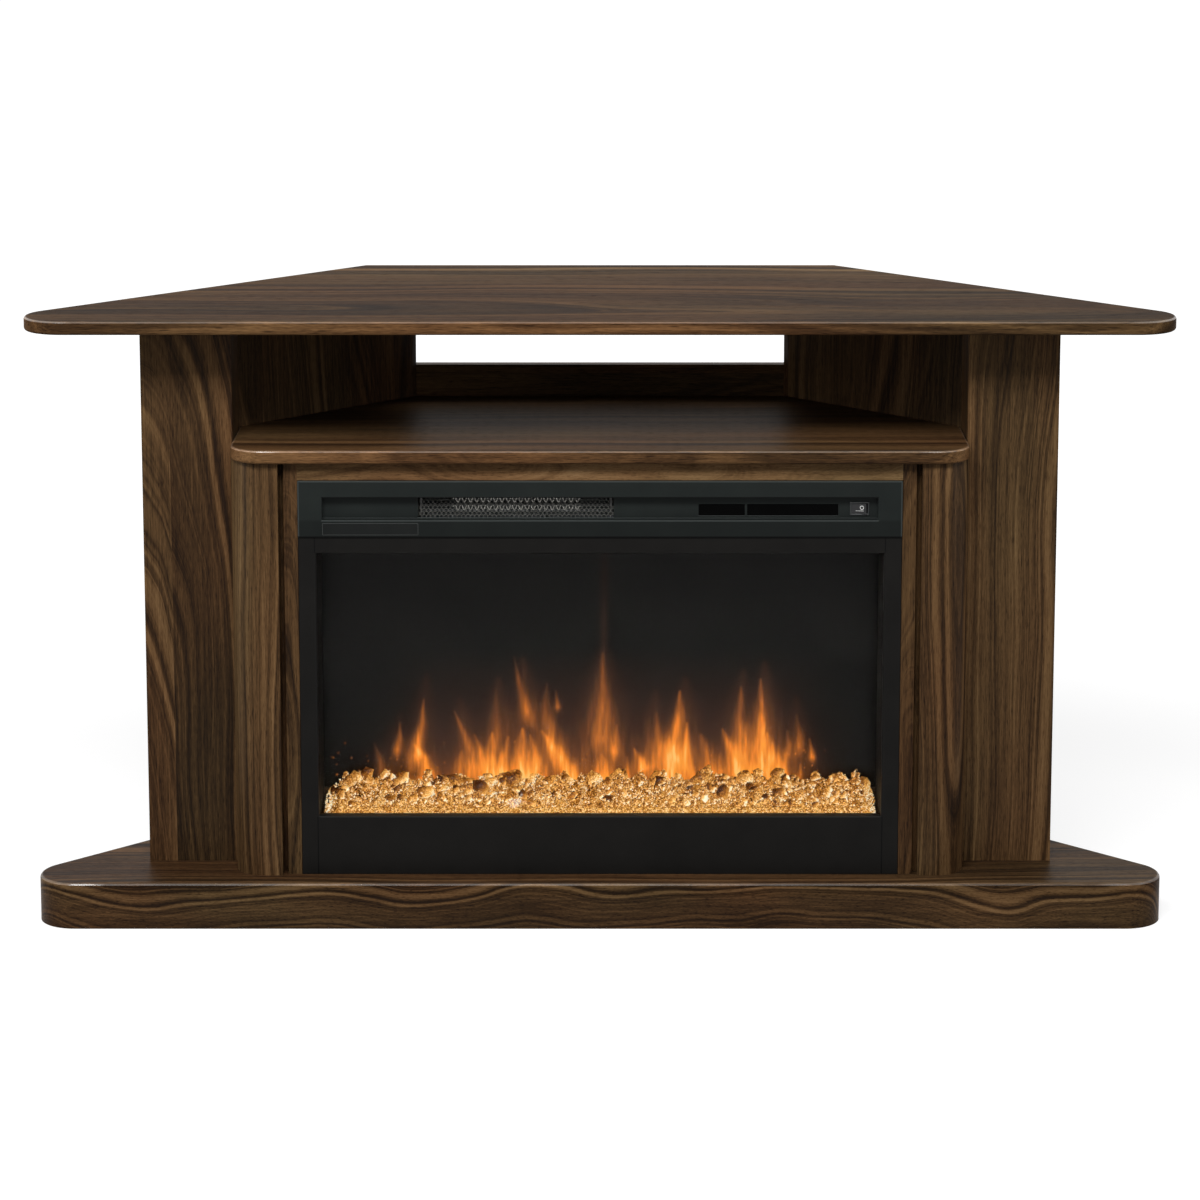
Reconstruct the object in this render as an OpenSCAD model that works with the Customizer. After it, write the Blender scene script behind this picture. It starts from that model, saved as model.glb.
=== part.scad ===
// Corner fireplace: a trapezoid stand for a room corner, with a media shelf
// and an electric insert that has a glass front, a crystal bed and a fan heater.
//
// Frame: +X to the right seen from the front, +Y to the back, +Z up.
// The origin is on the floor, under the middle of the top slab.
// Inside the modules y is a setback: 0 is the slab's front edge.

/* [Overall] */
// Depth of the top slab and of the base
slab_d = 412; // [400:2:440]
// Thickness of every board
board_t = 15; // [12:1:18]
// Clear height of the media shelf, under the slab
media_h = 130.5; // [110:0.5:180]

/* [Top slab and base] */
// How far the slab's tips stand out beside the wings
slab_over = 120; // [100:1:140]
// Radius of the slab's tips, seen from above
slab_tip_r = 45; // [30:1:55]
// Radius of the eased edges of slab and shelf
arris_r = 3; // [1.5:0.5:4]
// How far the base's tips stand back from the slab's tips
base_in = 3; // [-20:0.5:12]
// Height of the base
base_h = 52; // [40:1:70]
// Radius of the base's tips, seen from above
base_tip_r = 42; // [30:1:55]
// Radius of the base's eased upper edge
base_arris_r = 4; // [2:0.5:6]
// Length of each solid tip block, behind the middle of its tip
tip_block_l = 20; // [10:1:40]
// Gap between the outer ribs and the side rails, at the back
rib_gap = 35.5; // [5:0.5:100]

/* [Wings and side panels] */
// Width of a wing, seen from the front
wing_w = 100; // [80:1:110]
// Setback of the wings from the slab's front edge
wing_set = 84; // [70:1:95]
// How far the slab stands out behind the back rails
rail_set = 44; // [30:1:60]
// Height of the upper back rail
rail_h = 80; // [60:1:100]
// How far the upper back rail stands above the shelf
rail_lip_h = 36.5; // [20:0.5:50]
// Height of the lower back rail
low_rail_h = 80; // [60:1:120]

/* [Columns, partitions and header] */
// Dark gap between a column and its partition
column_gap = 6; // [2:0.5:15]
// Width of a column
col_w = 53; // [45:1:60]
// Depth of a column
col_d = 85; // [75:1:95]
// Radius of a column's outer front corner
col_r = 32; // [15:1:38]
// Setback of the columns from the slab's front edge
col_set = 29; // [24:1:34]
// Setback of the partitions and the header
part_set = 35; // [33:1:45]
// Height of the header rail over the insert
header_h = 20.5; // [18:0.5:40]
// Setback of the shelf's front edge
shelf_set = 20; // [12:1:24]
// Radius of the shelf's front corners
shelf_corner_r = 37; // [20:1:45]

/* [Cabinet hardware] */
// Diameter of a cam lock
cam_d = 15; // [12:1:20]
// Distance from a panel's edge to its cam's centre
cam_reach = 34; // [24:1:40]
// Diameter of a cam bolt
cam_bolt_d = 5; // [4:0.5:7]
// Diameter of a dowel
dowel_d = 8; // [6:1:8]
// Length of a dowel
dowel_l = 28; // [20:1:40]
// Depth of a dowel or bolt hole in the face of a board
face_bore = 10; // [7:0.5:11]
// Thickness of the bent corner plates and the insert's angle plates
plate_t = 1.5; // [1:0.5:2.5]
// Length of each leaf of a corner plate
plate_leaf = 26; // [20:1:34]
// Height of a corner plate
plate_h = 26; // [22:1:27]

/* [Insert front] */
// Width of the insert's front
insert_w = 660; // [655:1:670]
// Height of the insert's front
insert_h = 445.5; // [435:0.5:460]
// Setback of the lower frame's face
frame_set = 34; // [32:0.5:36]
// Depth of the folded lower frame
frame_d = 10; // [9:0.5:14]
// Thickness of the frame's sheet
trim_t = 1.5; // [1:0.1:2]
// Height of the fascia over the window
fascia_h = 62.8; // [58:0.1:72]
// How far the fascia stands proud of the lower frame
fascia_proud = 2; // [1:0.5:4]
// Width of the frame beside the window
window_side = 19; // [17:0.5:30]
// Height of the frame over the window
window_head = 17.9; // [14:0.1:30]
// Height of the frame under the window
window_sill = 66.6; // [62:0.1:72]
// Thickness of the glass
glass_t = 4; // [3:0.5:5]
// How far the glass reaches behind the frame's lip
glass_lap = 4.5; // [3:0.5:5]

/* [Fascia fittings] */
// Width of the fascia beside its long recess
recess_side = 26.3; // [20:0.1:30]
// Height of the recess
recess_h = 24.7; // [22:0.1:28]
// Height of the recess over the fascia's lower edge
recess_z = 19.5; // [16:0.1:21]
// Depth of the recess
recess_d = 10; // [6:0.5:11]
// Width of the hot air outlet
outlet_w = 214; // [180:1:240]
// Height of the hot air outlet
outlet_h = 22.6; // [18:0.1:23]
// Distance of the outlet from the recess's left end
outlet_in = 104.7; // [80:0.1:115]
// Pitch of the outlet mesh
mesh_pitch = 6; // [5:0.5:8]
// Width of a strand of the outlet mesh
mesh_strand = 1.3; // [0.8:0.1:1.6]
// Thickness of the outlet mesh
mesh_t = 0.8; // [0.5:0.1:1.2]
// Width of the signal window
signal_w = 50.6; // [40:0.1:60]
// Width of the display window
display_w = 99.7; // [80:0.1:105]
// Height of both windows
lens_h = 12.7; // [10:0.1:15]
// Distance of the display window from the recess's right end
lens_in = 43.1; // [40:0.1:50]
// Bar between the two windows
lens_bar = 2.5; // [1.5:0.1:4]
// Width of the rocker switch's bezel
bezel_w = 21.1; // [20:0.1:24]
// Height of the rocker switch's bezel
bezel_h = 15; // [14:0.1:17]
// Distance of the rocker switch's middle from the recess's right end
rocker_in = 19.85; // [16:0.05:22]
// Travel of the rocker from one side to the other, in degrees
rocker_travel = 16; // [10:1:20]

/* [Housing and firebox] */
// How far the housing is narrower than the front, on each side
housing_in = 12; // [10.5:0.5:14]
// Depth of the housing behind the frame
housing_d = 190; // [185:1:196]
// How far the front stands over the housing
housing_head = 7.5; // [5:0.5:12]
// Thickness of the housing's sheet
sheet_t = 1.2; // [0.8:0.1:1.6]
// Width of the housing's folded flanges
flange_w = 10; // [8:0.5:10]
// Depth of the firebox liner
liner_d = 136; // [125:1:145]
// Distance from the glass to the flame screen
screen_d = 67; // [60:1:72]
// Thickness of the flame screen
screen_t = 3; // [2:0.5:4]
// Height of the ember tray's front lip under the window's lower edge
tray_drop = 1.6; // [0.5:0.1:4]
// Rise of the ember tray from front to back
tray_rise = 15; // [8:1:20]
// Number of crystals along the bed
crystal_cols = 27; // [20:1:30]

/* [Flame rotor] */
// Diameter of the rotor's shaft
rotor_shaft_d = 6; // [5:0.5:8]
// Reach of the rotor's flags from its axis
flag_reach = 16; // [12:0.5:17]
// Number of flag rings along the rotor
flag_rings = 20; // [10:1:24]
// Height of the rotor's axis over the housing's foot
rotor_z = 38; // [34:0.5:44]
// Distance of the rotor's axis behind the frame
rotor_y = 106; // [104:1:112]
// Diameter of the rotor's gear motor
rotor_motor_d = 36; // [30:1:39]
// Thickness of the rotor's gear motor
rotor_motor_t = 18; // [12:1:22]
// Distance of the motor's bracket from the liner's wall
motor_bracket_in = 43; // [36:1:60]

/* [Fan heater] */
// Outer diameter of the fan wheel
fan_d = 40; // [36:1:42]
// How much shorter the fan wheel is than the outlet
fan_short = 14; // [10:1:40]
// Number of blades on the fan wheel
fan_blades = 24; // [16:1:30]
// Radial depth of a blade
blade_depth = 4.5; // [3.5:0.1:5.5]
// Thickness of a blade
blade_t = 0.8; // [0.6:0.1:1]
// Diameter of the fan's shaft
fan_shaft_d = 5; // [4:0.5:6]
// Height of the fan's axis under the housing's roof
fan_drop = 37; // [34:0.5:38]
// Distance of the fan's axis behind the frame
fan_y = 78; // [74:1:86]
// Radius of a heater coil
coil_r = 3.2; // [2.5:0.1:3.5]
// Turns of each heater coil
coil_turns = 20; // [12:1:22]
// Diameter of the heater wire
wire_d = 0.9; // [0.8:0.1:1.2]
// Straight wire at each end of a heater coil
lead = 34; // [20:1:50]
// Radius of the bore in the cord inlet
inlet_r = 4; // [3:0.5:5]

/* [Hidden] */
fit = 0.5;          // joinery clearance between cabinet and insert
seat = 0.3;         // clearance of curved or loose pieces on their seat
run = 0.05;         // running clearance of a shaft, and of a pin in its hole
drill_gap = 0.05;   // clearance of a fastener in its hole
diag = sqrt(2);     // the stand's sides run at 45 degrees
ease_steps = 4;     // facets of an eased edge
layer = 0.01;       // thickness of a section that hull() joins
over = 1;           // how far a cutting tool passes a face
$fn = 64;

shelf_z = base_h + insert_h + fit + header_h;      // underside of the shelf
slab_z = shelf_z + board_t + media_h;              // underside of the slab
deck_z = base_h - board_t;                         // underside of the base's deck
part_x = insert_w / 2 + fit;                       // inner face of a partition
col_x = part_x + board_t + column_gap;             // inner face of a column
half_bay = col_x + col_w + fit;                    // inner edge of a wing
wing_x = half_bay + wing_w;                        // outer corner of a wing
wing_back = wing_set + board_t;
out_sum = wing_x + wing_set;                       // x + y on a side panel's outer face
in_sum = out_sum - board_t * diag;                 // x + y on its inner face
rail_y = slab_d - rail_set - board_t;              // front face of the back rails
slab_w = 2 * (wing_x + slab_over);
base_w = slab_w - 2 * base_in;
base_sum = base_w / 2 + base_tip_r * diag;         // x + y on the base's side
base_back = slab_d - board_t;                      // front face of the base's back rail
tip_x = base_w / 2 - base_tip_r - tip_block_l;     // where a tip block starts
rib_x = base_sum - board_t * diag - base_back - rib_gap - board_t / 2;

frame_back = frame_set + frame_d;                  // back of the folded frame
fascia_z = base_h + insert_h - fascia_h;           // lower edge of the fascia
fascia_y = frame_set - fascia_proud;
window_w = insert_w - 2 * window_side;
window_h = insert_h - fascia_h - window_sill - window_head;
window_z = base_h + window_sill;
glass_y = frame_back;
glass_back = glass_y + glass_t;
housing_x = insert_w / 2 - housing_in;
housing_back = frame_back + housing_d;
housing_h = insert_h - housing_head;
housing_top = base_h + housing_h;
liner_x = window_w / 2;                            // inner face of the liner's walls
liner_y = glass_back + 2;
liner_top = window_z + window_h + 1.2;             // underside of the liner's ceiling
liner_back = liner_y + liner_d;
liner_t = 1;
screen_y = glass_back + screen_d;
tray_z = window_z - tray_drop;                     // top of the tray's front lip
tray_t = 2;
tray_depth = screen_y - liner_y - 1.2;
recess_w = insert_w - 2 * recess_side;
recess_bottom = fascia_z + recess_z;
recess_y = fascia_y + recess_d;                    // face of the recess's floor
recess_back = recess_y + trim_t;
recess_mid = recess_bottom + recess_h / 2;
outlet_x = outlet_in + outlet_w / 2 - recess_w / 2;  // middle of the outlet
display_x = recess_w / 2 - lens_in - display_w;
lens_x = display_x - lens_bar - signal_w;
rocker_x = recess_w / 2 - rocker_in;
motor_bracket_x = liner_x - motor_bracket_in;
fan_l = outlet_w - fan_short;
fan_z = housing_top - fan_drop;
fan_r = fan_d / 2;
fan_axis_y = frame_back + fan_y;
rotor_axis_y = frame_back + rotor_y;
rotor_axis_z = base_h + rotor_z;
rotor_shaft_r = rotor_shaft_d / 2;
fan_shaft_r = fan_shaft_d / 2;
pivot_y = recess_y + 3;                            // axis of the rocker

// Colours, as the photograph shows them
walnut = [0.27, 0.18, 0.12];
walnut_dark = [0.22, 0.15, 0.10];
zinc = [0.62, 0.63, 0.64];
beech = [0.76, 0.62, 0.44];
fascia_grey = [0.13, 0.15, 0.16];
frame_black = [0.07, 0.07, 0.07];
soot = [0.03, 0.03, 0.03];
galvanised = [0.55, 0.57, 0.58];
board_green = [0.05, 0.22, 0.12];

// ---------- helpers ----------

// Puts a setback from the slab's front edge into the part's own frame.
module placed() { translate([0, -slab_d / 2, 0]) children(); }

module on_left() { mirror([1, 0, 0]) children(); }

module both_sides() { children(); on_left() children(); }

// A box by its lowest and highest corners.
module span(low, high) { translate(low) cube(high - low); }

// An upright board: its outline seen from above, from one height to another.
module upright(z0, z1) { translate([0, 0, z0]) linear_extrude(z1 - z0) children(); }

// Trapezoid with rounded tips and sides at 45 degrees, drawn in by e all round.
module corner_plan(w, d, r, e = 0) {
    cx = w / 2 - r;
    sum = cx + r + (r - e) * diag;
    touch = (r - e) / diag;
    polygon([
        [-cx, e], [cx, e], [cx, r], [cx + touch, r + touch],
        [sum - d + e, d - e], [-(sum - d + e), d - e],
        [-cx - touch, r + touch], [-cx, r]
    ]);
    for (side = [-1, 1]) translate([side * cx, r]) circle(r - e);
}

// The rear corners and the round front corners of the shelf, drawn in by e:
// hull() closes the outline round them.
module shelf_section(e) {
    x = half_bay - fit - e;
    sum = in_sum - (fit + e) * diag;
    back = rail_y - fit - e;
    polygon([[x, sum - x], [sum - back, back], [back - sum, back], [-x, sum - x]]);
    for (side = [-1, 1])
        translate([side * (half_bay - fit - shelf_corner_r), shelf_set + shelf_corner_r])
            circle(shelf_corner_r - e);
}

// Sections of a board with eased edges: height of the foot, inset, thickness.
// The upright part of the edge is one section.
function ease(t, top_r, low_r = 0) = concat(
    [[low_r, 0, t - top_r - low_r]],
    [for (k = [1:ease_steps]) let (a = 90 * k / ease_steps)
        [t - top_r + top_r * sin(a) - layer, top_r * (1 - cos(a)), layer]],
    [for (k = [1:low_r > 0 ? ease_steps : 0]) let (a = 90 * k / ease_steps)
        [low_r - low_r * sin(a), low_r * (1 - cos(a)), layer]]
);

// ---------- joinery ----------

// Places of the vertical dowels, seen from above, on the right-hand side.
dowel_inset = 25;                  // from a partition's ends to its dowels
part_mid = part_x + board_t / 2;
dowel_spots = [
    [col_x + col_w / 2, col_set + col_d / 2],
    [part_mid, part_set + dowel_inset],
    [part_mid, in_sum - part_x - board_t - dowel_inset]
];

// Dowels that stand in the deck, and those that reach up into the shelf.
module dowel_set(gap) {
    for (spot = dowel_spots) {
        translate([spot[0], spot[1], base_h - face_bore + seat - gap])
            cylinder(h = dowel_l + 2 * gap, r = dowel_d / 2 + gap);
        translate([spot[0], spot[1], shelf_z + face_bore - seat + gap - dowel_l - 2 * gap])
            cylinder(h = dowel_l + 2 * gap, r = dowel_d / 2 + gap);
    }
}

// Cam places: centre of the board's edge, then the turn of its hidden face.
side_cams = [0.22, 0.8];           // how far along a side panel its cams are
side_cam_y = [for (f = side_cams) wing_back + f * (rail_y - wing_back)];
cam_spots = [
    [wing_x - wing_w / 2 - board_t / 4, wing_set + board_t / 2, 0],
    [out_sum - board_t / diag - side_cam_y[0], side_cam_y[0], -45],
    [out_sum - board_t / diag - side_cam_y[1], side_cam_y[1], -45]
];
cam_skin = 2.5;                    // wood left in front of a cam
cam_depth = board_t - cam_skin;
cam_slot = [8, 3, 1.4];            // one bar of the cam's cross slot
bolt_head_h = 2;
bolt_head_lap = 0.7;               // how far the bolt's head passes its shank
bolt_foot = 1.5;                   // from the cam's centre to the bolt's head

// Children are drawn at each cam's centre, +Z towards the board's edge and
// +Y out of the board's hidden face.
module at_cams(spots = cam_spots) {
    for (s = spots) for (end = [0, 1])
        translate([s[0], s[1], end ? slab_z - cam_reach : base_h + cam_reach])
            rotate(s[2]) mirror([0, 0, 1 - end]) children();
}

module cam_lock(gap = 0) {
    translate([0, board_t / 2 + gap, 0]) rotate([90, 0, 0])
        cylinder(h = cam_depth + gap, r = cam_d / 2 - drill_gap + gap);
}

// The bolt stands in the slab or the deck and reaches down to the cam.
module cam_bolt(gap = 0) {
    cylinder(h = cam_reach + face_bore - seat + gap, r = cam_bolt_d / 2 + gap);
}

// Channel in the panel's edge for the bolt, with room for its head.
module cam_channel() {
    cylinder(h = cam_reach + over, r = cam_bolt_d / 2 + bolt_head_lap + fit);
}

// What the right-hand cams of these spots take out of a panel.
module cam_cuts(spots) {
    at_cams(spots) { cam_lock(drill_gap); cam_channel(); }
}

module bolt_holes() { both_sides() at_cams() cam_bolt(drill_gap); }

module screw(l, r = 2, head_r = 3.6, head_h = 2) {
    translate([0, 0, -l]) cylinder(h = l + head_h / 2, r = r);
    cylinder(h = head_h, r1 = head_r, r2 = head_r * 0.7);
}

module pilot(l, r = 2) {
    translate([0, 0, -l - seat]) cylinder(h = l + seat + over, r = r + drill_gap);
}

// The hole that a screw needs in a sheet of thickness t.
module sheet_hole(t, r = 2) {
    translate([0, 0, -t - over]) cylinder(h = t + 2 * over, r = r + drill_gap);
}

// ---------- cabinet ----------

module top_slab() {
    color(walnut) placed() translate([0, 0, slab_z]) difference() {
        hull() for (s = ease(board_t, arris_r, arris_r))
            translate([0, 0, s[0]]) linear_extrude(s[2])
                corner_plan(slab_w, slab_d, slab_tip_r, s[1], $fn = 112);
        translate([0, 0, -slab_z]) bolt_holes();
    }
}

module shelf() {
    color(walnut) placed() difference() {
        hull() for (s = ease(board_t, arris_r, arris_r))
            translate([0, 0, shelf_z + s[0]]) linear_extrude(s[2])
                shelf_section(s[1], $fn = 80);
        both_sides() dowel_set(drill_gap);
    }
}

module base_deck() {
    color(walnut) placed() difference() {
        hull() for (s = ease(board_t, base_arris_r))
            translate([0, 0, deck_z + s[0]]) linear_extrude(s[2])
                corner_plan(base_w, slab_d, base_tip_r, s[1], $fn = 112);
        bolt_holes();
        both_sides() dowel_set(drill_gap);
    }
}

module wing_front() {
    color(walnut) placed() difference() {
        upright(base_h, slab_z) polygon([
            [half_bay, wing_set], [wing_x, wing_set],
            [wing_x - board_t, wing_back], [half_bay, wing_back]
        ]);
        cam_cuts([cam_spots[0]]);
    }
}

module wing_return() {
    color(walnut_dark) placed() upright(base_h, slab_z) polygon([
        [half_bay, wing_back], [half_bay + board_t, wing_back],
        [half_bay + board_t, in_sum - half_bay - board_t],
        [half_bay, in_sum - half_bay]
    ]);
}

module side_panel() {
    color(walnut_dark) placed() difference() {
        upright(base_h, slab_z) polygon([
            [out_sum - wing_back, wing_back], [out_sum - rail_y, rail_y],
            [in_sum - rail_y, rail_y], [in_sum - wing_back, wing_back]
        ]);
        cam_cuts([cam_spots[1], cam_spots[2]]);
        plate_screws() pilot(plate_screw_l);
    }
}

// A solid post with one rounded corner, face to the room.
module column() {
    color(walnut) placed() difference() {
        upright(base_h, shelf_z) {
            translate([col_x, col_set]) square([col_w - col_r, col_d]);
            translate([col_x, col_set + col_r]) square([col_w, col_d - col_r]);
            translate([col_x + col_w - col_r, col_set + col_r]) intersection() {
                circle(col_r);
                translate([0, -col_r]) square(col_r);
            }
        }
        dowel_set(drill_gap);
    }
}

module partition() {
    far = part_x + board_t;
    color(walnut) placed() difference() {
        upright(base_h, shelf_z) polygon([
            [part_x, part_set], [far, part_set],
            [far, in_sum - far], [part_x, in_sum - part_x]
        ]);
        dowel_set(drill_gap);
        header_dowels(drill_gap);
        bracket_screws() pilot(bracket_screw_l);
    }
}

header_dowel_d = 6;
header_dowel_l = 24;

module header_dowels(gap) {
    translate([part_x - header_dowel_l + face_bore - gap, part_set + board_t / 2,
            shelf_z - header_h / 2])
        rotate([0, 90, 0]) cylinder(h = header_dowel_l + 2 * gap, r = header_dowel_d / 2 + gap);
}

module header_rail() {
    color(walnut) placed() difference() {
        span([-part_x, part_set, shelf_z - header_h], [part_x, part_set + board_t, shelf_z]);
        both_sides() header_dowels(drill_gap);
    }
}

module rail_plan(sum) {
    polygon([
        [-(sum - rail_y), rail_y], [sum - rail_y, rail_y],
        [sum - rail_y - board_t, rail_y + board_t], [-(sum - rail_y - board_t), rail_y + board_t]
    ]);
}

module back_rail() {
    top = shelf_z + board_t + rail_lip_h;
    color(walnut_dark) placed() difference() {
        upright(top - rail_h, top) rail_plan(out_sum);
        both_sides() plate_screws() pilot(plate_screw_l);
    }
}

module lower_back_rail() {
    color(walnut_dark) placed() difference() {
        upright(base_h, base_h + low_rail_h) rail_plan(out_sum);
        both_sides() plate_screws() pilot(plate_screw_l);
    }
}

module base_front_rail() {
    color(walnut) placed() span([-tip_x, 0, 0], [tip_x, board_t, deck_z]);
}

module base_tip() {
    color(walnut) placed() intersection() {
        upright(0, deck_z) corner_plan(base_w, slab_d, base_tip_r, $fn = 112);
        span([tip_x, -over, -over], [base_w, base_sum - tip_x, deck_z + over]);
    }
}

module base_side_rail() {
    in = base_sum - board_t * diag;
    color(walnut) placed() upright(0, deck_z) polygon([
        [tip_x, base_sum - tip_x], [base_sum - base_back, base_back],
        [in - base_back, base_back], [tip_x, in - tip_x]
    ]);
}

module base_back_rail() {
    color(walnut_dark) placed() upright(0, deck_z) polygon([
        [-(base_sum - base_back), base_back], [base_sum - base_back, base_back],
        [base_sum - slab_d, slab_d], [-(base_sum - slab_d), slab_d]
    ]);
}

module base_cross_ribs() {
    color(walnut_dark) placed() for (x = [-rib_x, 0, rib_x]) translate([x, 0, 0])
        span([-board_t / 2, board_t, 0], [board_t / 2, base_back, deck_z]);
}

// ---------- cabinet hardware ----------

module cam_locks() {
    color(zinc) placed() both_sides() at_cams() difference() {
        cam_lock();
        cylinder(h = cam_d, r = cam_bolt_d / 2 + bolt_head_lap + seat);
        // cross slot for the screwdriver
        for (a = [0, 90]) translate([0, board_t / 2, 0]) rotate([0, a, 0])
            cube(cam_slot, center = true);
    }
}

module cam_bolts() {
    color(zinc) placed() both_sides() at_cams() translate([0, 0, bolt_foot]) {
        cylinder(h = cam_reach + face_bore - seat - bolt_foot, r = cam_bolt_d / 2);
        cylinder(h = bolt_head_h, r = cam_bolt_d / 2 + bolt_head_lap);
    }
}

module dowels() {
    color(beech) placed() both_sides() { dowel_set(0); header_dowels(0); }
}

// Bent plates that join the back rails to the side panels: the angle between
// a side panel and a rail is 135 degrees.
plate_screw_l = 12;
plate_screw_x = 16;                // from the corner to a leaf's screws
plate_drop = 1.5;                  // gap between the upper plates and the shelf
plate_zs = [base_h + low_rail_h / 2, shelf_z - plate_h / 2 - plate_drop];
plate_corner = [in_sum - rail_y, rail_y];

// One leaf along the rail, one along the side panel: leaf x runs away from
// the corner, leaf y points out of the board.
module plate_leaves() {
    for (z = plate_zs) translate([plate_corner[0], plate_corner[1], z]) {
        rotate(180) children();
        mirror([0, 1, 0]) rotate(45) children();
    }
}

module plate_screws() {
    plate_leaves() for (z = [-1, 1])
        translate([plate_screw_x, plate_t, z * plate_h / 4]) rotate([-90, 0, 0]) children();
}

module corner_plates() {
    color(zinc) placed() both_sides() difference() {
        // mitred strip that turns through the corner
        for (z = plate_zs) translate([plate_corner[0], plate_corner[1], z - plate_h / 2])
            linear_extrude(plate_h) polygon([
                [-plate_leaf, 0], [0, 0],
                [plate_leaf / diag, -plate_leaf / diag],
                [plate_leaf / diag - plate_t / diag, -plate_leaf / diag - plate_t / diag],
                [-plate_t * tan(22.5), -plate_t],
                [-plate_leaf, -plate_t]
            ]);
        plate_screws() sheet_hole(plate_t);
    }
}

// Angle plates that hold the insert's flanges against the partitions.
bracket_screw_l = 11;
bracket_places = [0.28, 0.7];      // how far up the insert the plates are
bracket_z = [for (f = bracket_places) base_h + f * insert_h];
bracket_h = 30;
bracket_y = frame_back + sheet_t;
bracket_leaf = 30;
bracket_screw_y = bracket_y + 20;

module insert_brackets() {
    color(zinc) placed() both_sides() difference() {
        for (z = bracket_z) {
            span([housing_x + seat, bracket_y, z], [part_x, bracket_y + plate_t, z + bracket_h]);
            span([part_x - plate_t, bracket_y, z],
                [part_x, bracket_y + bracket_leaf, z + bracket_h]);
        }
        bracket_screws() sheet_hole(plate_t);
    }
}

module bracket_screws() {
    for (z = bracket_z) translate([part_x - plate_t, bracket_screw_y, z + bracket_h / 2])
        rotate([0, -90, 0]) children();
}

module wood_screws() {
    color(zinc) placed() both_sides() {
        plate_screws() screw(plate_screw_l);
        bracket_screws() screw(bracket_screw_l);
    }
}

// ---------- insert: front ----------

// A folded sheet frame: a face with returns round its rim and its opening.
module folded_frame(low, high, depth, hole_low, hole_high) {
    rim = [trim_t, 0, trim_t];
    difference() {
        union() {
            difference() {
                span(low, [high[0], low[1] + depth, high[1]]);
                span(low + [trim_t, trim_t, trim_t],
                    [high[0] - trim_t, low[1] + depth + over, high[1] - trim_t]);
            }
            span([hole_low[0], low[1], hole_low[1]] - rim,
                [hole_high[0], low[1] + depth, hole_high[1]] + rim);
        }
        span([hole_low[0], low[1] - over, hole_low[1]],
            [hole_high[0], low[1] + depth + over, hole_high[1]]);
    }
}

module front_frame() {
    color(frame_black) placed() folded_frame(
        [-insert_w / 2, frame_set, base_h], [insert_w / 2, fascia_z - fit], frame_d,
        [-liner_x, window_z], [liner_x, window_z + window_h]
    );
}

rocker_hole = [17.6, 11.6];        // opening of the bezel
rocker_wall = 1;                   // wall of the switch body
body_gap = 0.2;                    // between the switch body and the fascia
body_hole = [for (s = rocker_hole) s + 2 * (rocker_wall + body_gap)];
lens_drop = 3;                     // the lenses sit lower than the recess's middle
lens_z = recess_mid - lens_h / 2 - lens_drop;

module fascia_holes() {
    span([outlet_x - outlet_w / 2, recess_y - over, recess_mid - outlet_h / 2],
        [outlet_x + outlet_w / 2, recess_back + over, recess_mid + outlet_h / 2]);
    for (x = [[lens_x, signal_w], [display_x, display_w]])
        span([x[0], recess_y - over, lens_z], [x[0] + x[1], recess_back + over, lens_z + lens_h]);
    span([rocker_x - body_hole[0] / 2, recess_y - over, rocker_z - body_hole[1] / 2],
        [rocker_x + body_hole[0] / 2, recess_back + over, rocker_z + body_hole[1] / 2]);
}

module fascia() {
    low = [-insert_w / 2, fascia_y, fascia_z];
    high = [insert_w / 2, frame_back, base_h + insert_h];
    recess_low = [-recess_w / 2, fascia_y, recess_bottom];
    recess_high = [recess_w / 2, recess_y, recess_bottom + recess_h];
    wall = [trim_t, 0, trim_t];
    color(fascia_grey) placed() difference() {
        union() {
            difference() {
                span(low, high);
                span(low + [trim_t, trim_t, trim_t], high + [-trim_t, over, -trim_t]);
            }
            span(recess_low - wall, recess_high + wall + [0, trim_t, 0]);
        }
        span(recess_low - [0, over, 0], recess_high);
        fascia_holes();
    }
}

mesh_lap = 1.6;                    // mesh behind the upper and lower edge
mesh_lap_x = 4;                    // mesh behind the ends

// Expanded mesh: rows of lozenges, every second row shifted by half a pitch.
module outlet_mesh() {
    w = outlet_w + 2 * mesh_lap_x;
    h = outlet_h + 2 * mesh_lap;
    rows = floor(outlet_h / (mesh_pitch / 2)) - 1;
    cols = floor(outlet_w / mesh_pitch) - 1;
    reach = mesh_pitch / 2 - mesh_strand / 2;
    color(soot) placed() translate([outlet_x, recess_back + mesh_t, recess_mid])
        rotate([90, 0, 0]) linear_extrude(mesh_t) difference() {
            square([w, h], center = true);
            for (row = [0:rows - 1]) for (col = [0:cols - 1 - row % 2])
                translate([
                    (col - (cols - 1 - row % 2) / 2) * mesh_pitch,
                    (row - (rows - 1) / 2) * mesh_pitch / 2
                ]) circle(reach, $fn = 4);
        }
}

// Two black lenses that sit in the recess's floor, each with a rim behind it.
lens_gap = 0.1;
lens_rim = 1;
lens_rim_t = 1.2;
lens_sink = 0.4;                   // how far a lens lies below the recess's floor

module display_windows() {
    color(soot) placed() for (x = [[lens_x, signal_w], [display_x, display_w]]) {
        span([x[0] + lens_gap, recess_y + lens_sink, lens_z + lens_gap],
            [x[0] + x[1] - lens_gap, recess_back + lens_rim_t, lens_z + lens_h - lens_gap]);
        span([x[0] - lens_rim, recess_back, lens_z - lens_rim],
            [x[0] + x[1] + lens_rim, recess_back + lens_rim_t, lens_z + lens_h + lens_rim]);
    }
}

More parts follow.
